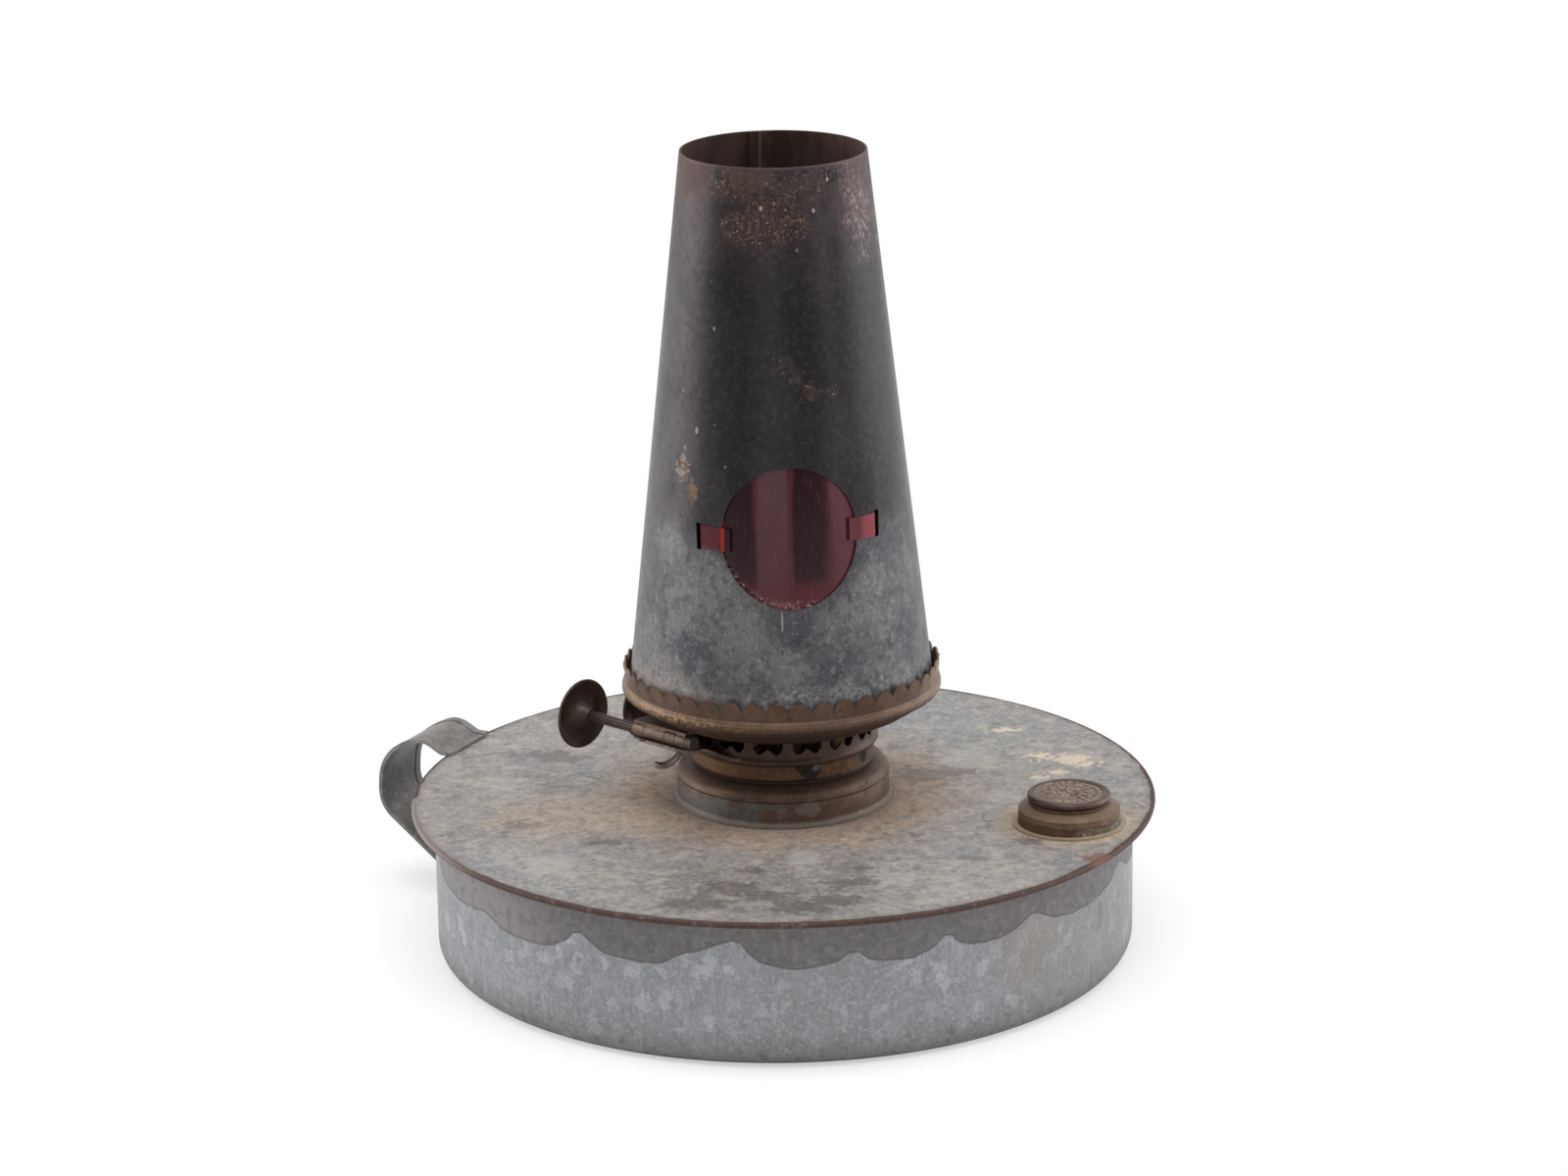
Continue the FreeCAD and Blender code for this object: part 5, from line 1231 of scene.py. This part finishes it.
@dataclass
class Burner:
    """The burner's fixed pieces."""

    washer_foot_mm: float = 49.5
    wall_mm: float = BASKET_RADIUS_MM
    sheet_mm: float = 0.5
    windows: int = 15
    first_window_deg: float = -75.0
    columns: int = 32
    half_window: int = 12
    sill_mm: float = 59.0
    head_mm: float = 61.2
    tooth_mm: float = 1.4
    tooth_share: float = 0.62

    def washer(self) -> None:
        """The leather ring between collar and burner."""
        foot = self.washer_foot_mm
        ring = spun([(22.25, foot), (23.1, foot), (23.25, foot + 0.3), (23.1, foot + 0.6),
                     (22.25, foot + 0.6)], 128)
        settle(ring, "leather_ring", "burner_seal", Finish.LEATHER, "burner_washer")

    def basket(self) -> None:
        """The basket: a lip that rolls over the cup, and a wall with a ring of scalloped air holes."""
        lip = [(23.35, 54.6), (24.3, 54.75), (24.55, 55.15), (24.5, 55.7), (24.15, 56.2),
               (self.wall_mm + 0.03, 56.6)]
        steps = self.windows * self.columns
        rows: list[list] = [[] for _ in range(len(lip) + 5)]
        holes = set()
        for step in range(steps):
            turn = math.radians(self.first_window_deg) + FULL_TURN * step / steps
            column = (step + self.columns // 2) % self.columns - self.columns // 2
            aside = min(1.0, abs(column) / self.half_window)
            reach = aside / self.tooth_share if aside < self.tooth_share else (1 - aside) / (1 - self.tooth_share)
            sill = self.sill_mm - self.tooth_mm * math.sin(reach * math.pi / 2) ** 1.3
            ends = [(self.wall_mm, height) for height in (sill, self.head_mm, 61.8,
                                                          62.3)] + [(self.wall_mm - 0.3, 62.6)]
            for row, (radius, height) in zip(rows, lip + ends):
                row.append((radius * math.cos(turn), radius * math.sin(turn), height))
            if -self.half_window <= column < self.half_window:
                holes.add((len(lip), step))
        mesh = thickened(netted(rows, around=True, holes=holes), self.sheet_mm)
        settle(mesh, "pierced_basket", "burner", Finish.BASKET, "air_basket")

    def build(self) -> None:
        """Make the washer and the basket, and dress the rest."""
        self.washer()
        self.basket()
        dress("burner_ring", Finish.RING)
        for node in ("draft_screen", "wick_tube", "vent_tube", "winder_sleeve"):
            dress(node, Finish.INNER)


@dataclass
class Wick:
    """The flat cotton wick."""

    width_mm: float = 38.0
    thickness_mm: float = 2.6
    foot_mm: float = 13.0
    top_mm: float = 83.3
    fray_mm: float = 0.25
    edge_share: float = 0.12

    def build(self) -> None:
        """Make the wick: a flat woven strip with rounded edges and a slightly uneven, lit top."""
        mesh = bmesh.new()
        bmesh.ops.create_grid(mesh, x_segments=48, y_segments=90, size=0.5)
        tall = self.top_mm - self.foot_mm
        for vert in mesh.verts:
            across = vert.co.x * self.width_mm
            up = self.foot_mm + (vert.co.y + 0.5) * tall
            if vert.co.y > 0.49:
                up -= self.fray_mm + self.fray_mm * math.sin(across * 1.7) * math.sin(across * 0.6)
            vert.co = Vector((across, 0, up)) * MM
        mesh.normal_update()
        bmesh.ops.solidify(mesh, geom=mesh.faces[:], thickness=self.thickness_mm * MM)
        low, high = min(v.co.y for v in mesh.verts), max(v.co.y for v in mesh.verts)
        half = self.width_mm * MM / 2
        for vert in mesh.verts:
            vert.co.y -= (low + high) / 2
            side = min(1.0, (half - abs(vert.co.x)) / (self.thickness_mm * MM / 2))
            vert.co.y *= math.sqrt(max(self.edge_share, 1 - (1 - side) ** 2))
        bmesh.ops.recalc_face_normals(mesh, faces=mesh.faces[:])
        settle(place(mesh, HINGE_AZIMUTH_DEG), "woven_wick", "wick", Finish.WICK, "wick", 60)


@dataclass
class Thumbwheel:
    """A dished wheel on a shaft, with a rolled, finely milled rim."""

    name: str
    node: str
    body: str
    offset_mm: float
    height_mm: float
    reach_mm: float
    shaft_mm: float
    radius_mm: float = 9.0
    roll_mm: float = 0.42
    boss_reach_mm: float = 3.0
    depth_mm: float = 2.2
    steps: int = 160
    milling_share: float = 0.008

    def build(self) -> None:
        """Spin the dish about its shaft and stand it where the shaft ends."""
        edge, roll, shaft = self.radius_mm, self.roll_mm, self.shaft_mm
        deep = self.depth_mm
        boss = [(shaft, -self.boss_reach_mm), (shaft + 0.45, -self.boss_reach_mm), (shaft + 0.6, -2.4)]
        hollow = [(2.3, -1.2), (3.1, 0.0), (4.2, 0.75), (5.4, 1.0), (6.6, 0.9), (7.6, 0.55), (edge - 0.75, 0.1)]
        rim = [(edge - roll + out, 0.25 + along) for out, along in arc(roll, -150, 70, 8)]
        back = [(7.7, 1.05), (6.6, 1.45), (5.0, 1.6), (3.4, 1.7), (2.4, deep)]
        socket = [(0, deep), (0, deep * 0.5), (shaft, deep * 0.5)]
        mesh = spun(boss + hollow + rim + back + socket, self.steps)
        for vert in mesh.verts:
            out = math.hypot(vert.co.x, vert.co.y)
            if out > (edge - 0.1) * MM:
                turn = math.atan2(vert.co.y, vert.co.x)
                vert.co *= 1 - self.milling_share * (round(turn / FULL_TURN * self.steps) % 2)
        tip = Matrix.Rotation(math.radians(90), 4, "Y")
        move = Matrix.Rotation(math.radians(HINGE_AZIMUTH_DEG), 4, "Z") @ Matrix.Translation(
            Vector((self.reach_mm, self.offset_mm, self.height_mm)) * MM) @ tip
        bmesh.ops.transform(mesh, matrix=move, verts=mesh.verts[:])
        settle(mesh, self.name, self.body, Finish.WHEEL, self.node, 50)


@dataclass
class Hinge:
    """The hinge between burner and gallery, with its lifter, the winder and the catch."""

    wall_mm: float = BASKET_RADIUS_MM
    pin_reach_mm: float = PIN_REACH_MM
    pin_height_mm: float = PIN_HEIGHT_MM
    knuckle_mm: float = 1.8
    bore_mm: float = 1.4
    near_mm: float = 1.4
    far_mm: float = 20.9
    edge_mm: float = 2.5
    top_mm: float = 58.58
    plate_mm: float = 0.75
    sweep_mm: float = 9.5
    corner_mm: float = 4.5
    notch_mm: float = 1.3
    notch_at_mm: float = 17.2
    notch_half_mm: float = 0.7
    drop_mm: float = 2.6
    fixed_knuckles: tuple = ((6.85, 10.4), (17.75, 21.4))
    web_path: tuple = ((29.6, -0.4), (30.6, 0.1), (32.6, 0.15))
    web_mm: float = 0.6
    catch_at_mm: tuple = (-21.447, -16.347, 0)
    catch_turn_deg: float = 192.0
    catch_dish_mm: float = 0.28
    wheels: tuple = field(default_factory=lambda: (
        Thumbwheel("lifter_dish", "lifter_wheel", "gallery", PIN_REACH_MM, PIN_HEIGHT_MM, 40.0, 1.35),
        Thumbwheel("winder_dish", "winder_wheel", "winder", 6.2, 56.2, 41.4, 1.1)))

    def tongue(self) -> None:
        """The fixed leaf: a plate that sweeps up from the basket to the barrel, with its two curled knuckles."""
        rows = []
        for out in [step / 28 for step in range(29)]:
            left = self.near_mm - self.sweep_mm * (1 - out) ** 2.8
            row = []
            for share in [step / 60 for step in range(61)]:
                along = left + (self.far_mm - left) * share
                inset = min(along - self.near_mm, self.far_mm - along) / self.corner_mm
                corner = min(0.98, max(0.0, 1 - inset))
                front = self.pin_reach_mm + self.edge_mm - self.corner_mm * (1 - math.sqrt(1 - corner ** 2))
                front -= self.notch_mm * math.exp(-((along - self.notch_at_mm) / self.notch_half_mm) ** 2)
                wall = math.sqrt(self.wall_mm ** 2 - along ** 2)
                across = wall + (front - wall) * out
                away = math.hypot(along, across) - self.wall_mm
                curl = 0.5 * max(0.0, (across - self.pin_reach_mm) / self.edge_mm) ** 2
                sunk = self.drop_mm * math.exp(-(away / self.drop_mm) ** 2)
                row.append((along, across, self.top_mm - sunk + curl))
            rows.append(row)
        mesh = thickened(netted(rows), self.plate_mm)
        over = max(vert.co.z for vert in mesh.verts) - (self.top_mm + 0.5) * MM
        bmesh.ops.translate(mesh, verts=mesh.verts[:], vec=(0, 0, -max(0.0, over)))
        pin = Matrix.Translation(Vector((0, self.pin_reach_mm, self.pin_height_mm)) * MM)
        tip = pin @ Matrix.Rotation(math.radians(90), 4, "Y")
        for start, end in self.fixed_knuckles:
            bore, skin = self.bore_mm, self.knuckle_mm
            curl = spun([(bore, start), (skin - 0.1, start), (skin, start + 0.1), (skin, end - 0.1),
                         (skin - 0.1, end),
                         (bore, end)], 48)
            bmesh.ops.transform(curl, matrix=tip, verts=curl.verts[:])
            web = netted([[(along, across, self.top_mm + up) for along in (start, end)]
                          for across, up in self.web_path])
            joined(mesh, curl, thickened(web, self.web_mm))
        settle(place(mesh, HINGE_AZIMUTH_DEG), "swept_tongue", "burner", Finish.HINGE,
               "hinge_tongue")

    def catch(self) -> None:
        """The catch: a spring strip that widens, curls down and ends in an upturned, spoon-shaped tip."""
        path = [(0, 57.75), (2.0, 57.7), (3.4, 57.35), (4.5, 56.7), (5.4, 55.8), (6.3, 54.9), (7.3, 54.2),
                (8.4, 53.8),
                (9.4, 53.75), (10.2, 53.95), (10.8, 54.3)]
        rows = []
        for index, (along, height) in enumerate(path):
            share = index / (len(path) - 1)
            tip = max(0.0, (share - 0.75) / 0.25)
            half = 1.48 * math.sqrt(max(0.03, 1 - tip ** 2)) if tip or share == 0.75 else 1.1 + 0.5 * share
            rows.append([(along, half * side, height + self.catch_dish_mm * side * side)
                         for side in (-1, -0.6, -0.2, 0.2, 0.6, 1)])
        mesh = thickened(netted(rows), self.plate_mm)
        bmesh.ops.subdivide_edges(mesh, edges=mesh.edges[:], cuts=1, smooth=0.6, use_grid_fill=True)
        settle(place(mesh, self.catch_turn_deg, self.catch_at_mm), "curled_catch", "burner",
               Finish.SPRING, "catch_spring", 50)

    def build(self) -> None:
        """Make the tongue, the catch and the wheels, and dress the rest."""
        dress("hinge_leaf", Finish.HINGE)
        dress("lifter_pin", Finish.WHEEL)
        dress("winder_shaft", Finish.WHEEL)
        dress("spur_wheels", Finish.INNER)
        self.tongue()
        self.catch()
        for wheel in self.wheels:
            wheel.build()


@dataclass
class Gallery:
    """The chimney's seat: a stepped cove, a knurled bead and a scalloped coronet."""

    bead_top_mm: float = 71.4
    crown_mm: float = 40.1
    top_mm: float = 76.2
    scallops: int = 43
    steps_per_scallop: int = 12
    scallop_depth_mm: float = 2.3
    scallop_power: float = 2.6
    bent_mm: float = 0.25
    lean_share: float = 0.006

    def ring(self) -> None:
        """Spin the ring and round its crest into lobes."""
        under = [(25.0, 63.0), (31.0, 63.0), (32.2, 64.1), (32.7, 64.3), (34.1, 64.5), (34.7, 65.0),
                 (35.1, 65.8),
                 (35.7, 66.1), (36.9, 66.3), (37.5, 66.8), (38.0, 67.6), (38.9, 67.9)]
        bead = [(39.7, 68.25), (40.35, 68.6), (40.62, 69.2), (40.64, 69.8), (40.45, 70.1), (40.5, 70.4),
                (40.3, 70.9),
                (39.75, self.bead_top_mm)]
        crown = [(39.85, 73.4), (self.crown_mm, self.top_mm), (self.crown_mm - 0.45, self.top_mm), (39.3, 73.4)]
        over = [(39.0, self.bead_top_mm), (39.0, 68.9), (37.6, 68.3), (36.7, 67.2), (34.6, 66.8), (33.8, 65.5),
                (31.9, 65.0), (30.7, 63.6), (25.0, 63.6)]
        mesh = spun(under + bead + crown + over, self.scallops * self.steps_per_scallop)
        low = self.bead_top_mm + 0.5
        for vert in mesh.verts:
            height = vert.co.z / MM
            if height <= low:
                continue
            phase = math.atan2(vert.co.y, vert.co.x) / FULL_TURN * self.scallops
            aside = abs((phase + 0.5) % 1 - 0.5) * 2
            drop = self.scallop_depth_mm * aside ** self.scallop_power
            drop += self.bent_mm * math.sin(phase * 0.9) * math.sin(phase * 0.23)
            up = (height - low) / (self.top_mm - low)
            vert.co.z -= drop * MM * up
            lean = 1 + self.lean_share * math.sin(phase * 1.7 + 1) * up
            vert.co.x *= lean
            vert.co.y *= lean
        settle(mesh, "scalloped_gallery", "gallery", Finish.GALLERY, "gallery_ring", 44)

    def build(self) -> None:
        """Make the ring, and dress the dome."""
        self.ring()
        dress("flame_dome", Finish.DOME)


@dataclass
class Chimney:
    """The tapered chimney with its red pane."""

    def build(self) -> None:
        """Dress the chimney's sheets."""
        dress("chimney_cone", Finish.CHIMNEY)
        dress("chimney_seam", Finish.CHIMNEY)
        dress("window_pane", Finish.PANE)


@dataclass
class Studio:
    """The photograph's floor, lights and camera."""

    camera_at_mm: tuple = (0.0, -1193.5, 455.3)
    camera_tilt_deg: float = 73.17
    camera_roll_deg: float = -0.9
    camera_yaw_deg: float = -0.048
    focal_px: float = 5021.0
    picture_px: float = 1600.0
    sensor_mm: float = 36.0
    floor_mm: float = 8000.0
    floor_under_mm: float = 0.2
    cloth_mm: float = 2600.0

    def camera(self) -> None:
        """Put the camera where the photograph was taken from."""
        lens = bpy.data.cameras.new("camera")
        lens.sensor_width = self.sensor_mm
        lens.lens = self.focal_px / self.picture_px * self.sensor_mm
        lens.clip_start, lens.clip_end = 0.05, 30
        eye = bpy.data.objects.new("camera", lens)
        turn = Matrix.Rotation(math.radians(self.camera_yaw_deg), 4, "Z")
        turn = turn @ Matrix.Rotation(math.radians(self.camera_tilt_deg), 4, "X")
        turn = turn @ Matrix.Rotation(math.radians(self.camera_roll_deg), 4, "Z")
        eye.matrix_world = Matrix.Translation(Vector(self.camera_at_mm) * MM) @ turn
        bpy.context.scene.collection.objects.link(eye)
        bpy.context.scene.camera = eye

    def lamp(self, name: str, azimuth_deg: float, away_m: float, height_m: float, size_m: tuple,
             watts: float) -> None:
        """Stand a soft box that faces the lamp.

        Args:
            name: its name.
            azimuth_deg: where it stands.
            away_m: how far from the lamp's axis.
            height_m: height of its middle.
            size_m: its width and height.
            watts: its power.
        """
        box = bpy.data.lights.new(name, "AREA")
        box.shape = "RECTANGLE"
        box.size, box.size_y = size_m
        box.energy = watts
        stand = bpy.data.objects.new(name, box)
        angle = math.radians(azimuth_deg)
        spot = Vector((math.cos(angle) * away_m, math.sin(angle) * away_m, height_m))
        stand.location = spot
        stand.rotation_euler = (spot - Vector((0, 0, 0.08))).to_track_quat("Z", "Y").to_euler()
        stand.visible_camera = False
        bpy.context.scene.collection.objects.link(stand)

    def lights(self) -> None:
        """Stand two side boxes, one overhead, one in front and one at the right corner."""
        self.lamp("left_box", 168, 1.2, 0.55, (1.0, 1.1), 12)
        self.lamp("right_box", 14, 1.2, 0.55, (1.0, 1.1), 11)
        self.lamp("top_box", -90, 0.35, 1.5, (1.3, 1.3), 16)
        self.lamp("front_box", -96, 1.6, 0.5, (0.8, 1.0), 3)
        self.lamp("corner_box", -36, 1.5, 0.5, (0.5, 1.0), 3)

    def cloth(self) -> None:
        """Hang a dark cloth behind the camera, which only shiny surfaces mirror."""
        rows = [[(x, y, height) for x, y in arc(self.cloth_mm, -165, -15, 60)] for height in (20, 1100, 2200)]
        mesh = netted(rows)
        data = bpy.data.meshes.new("studio_cloth")
        mesh.to_mesh(data)
        mesh.free()
        data.materials.append(Surface("black_molton", "#1C1C1D", 1.0, 0.0).finished())
        cloth = bpy.data.objects.new("studio_cloth", data)
        bpy.context.scene.collection.objects.link(cloth)
        cloth.visible_camera = cloth.visible_diffuse = cloth.visible_shadow = False

    def world(self) -> None:
        """Surround the lamp with soft light, and with plain white where the camera or metal sees past it."""
        world = bpy.data.worlds.new("studio")
        world.use_nodes = True
        bpy.context.scene.world = world
        tree = world.node_tree
        tree.nodes.clear()
        path = add(tree, "ShaderNodeLightPath")
        kinds = ("Camera", "Transmission", "Glossy")
        straight, through, mirrored = [Field(path.outputs[f"Is {kind} Ray"]) for kind in kinds]
        clear = straight.step("MAXIMUM", through).step("MAXIMUM", mirrored)
        strength = add(tree, "ShaderNodeMapRange", {0: clear, 3: 0.36, 4: 1.0})
        back = add(tree, "ShaderNodeBackground", {0: (1, 1, 1, 1), 1: strength.outputs[0]})
        out = add(tree, "ShaderNodeOutputWorld")
        tree.links.new(back.outputs[0], out.inputs[0])

    def floor(self) -> None:
        """Lay a white floor that keeps the soft shadow and runs out to plain white."""
        mesh = bmesh.new()
        bmesh.ops.create_grid(mesh, x_segments=1, y_segments=1, size=self.floor_mm * MM / 2)
        data = bpy.data.meshes.new("studio_floor")
        mesh.to_mesh(data)
        mesh.free()
        sheet = bpy.data.objects.new("studio_floor", data)
        bpy.context.scene.collection.objects.link(sheet)
        sheet.location.z = -self.floor_under_mm * MM
        material = bpy.data.materials.new("studio_paper")
        material.use_nodes = True
        tree = material.node_tree
        tree.nodes.clear()
        place_at = add(tree, "ShaderNodeTexCoord")
        away = add(tree, "ShaderNodeVectorMath", {0: place_at.outputs["Object"]}, operation="LENGTH")
        reach = {0: away.outputs["Value"], 1: 0.1, 2: 0.2, 3: 0.5, 4: 1.0}
        far = add(tree, "ShaderNodeMapRange", reach, interpolation_type="SMOOTHSTEP")
        path = add(tree, "ShaderNodeLightPath")
        share = Field(far.outputs[0]) * Field(path.outputs["Is Camera Ray"])
        paper = add(tree, "ShaderNodeBsdfDiffuse", {0: (0.93, 0.93, 0.93, 1)})
        white = add(tree, "ShaderNodeEmission", {0: (1, 1, 1, 1), 1: 1.0})
        mixed = add(tree, "ShaderNodeMixShader", {0: share, 1: paper.outputs[0], 2: white.outputs[0]})
        out = add(tree, "ShaderNodeOutputMaterial")
        tree.links.new(mixed.outputs[0], out.inputs[0])
        data.materials.append(material)

    def build(self) -> None:
        """Set the studio up."""
        self.camera()
        self.lights()
        self.cloth()
        self.world()
        self.floor()
        bpy.context.scene.view_settings.view_transform = "Standard"


def main() -> None:
    """Build the lamp's looks in order and write down how large they are."""
    logging.basicConfig(level=logging.INFO, format="%(name)s %(message)s")
    for assembly in (Studio(), Tank(), Filler(), Burner(), Wick(), Hinge(), Gallery(), Chimney()):
        assembly.build()


if __name__ == "__main__":
    main()
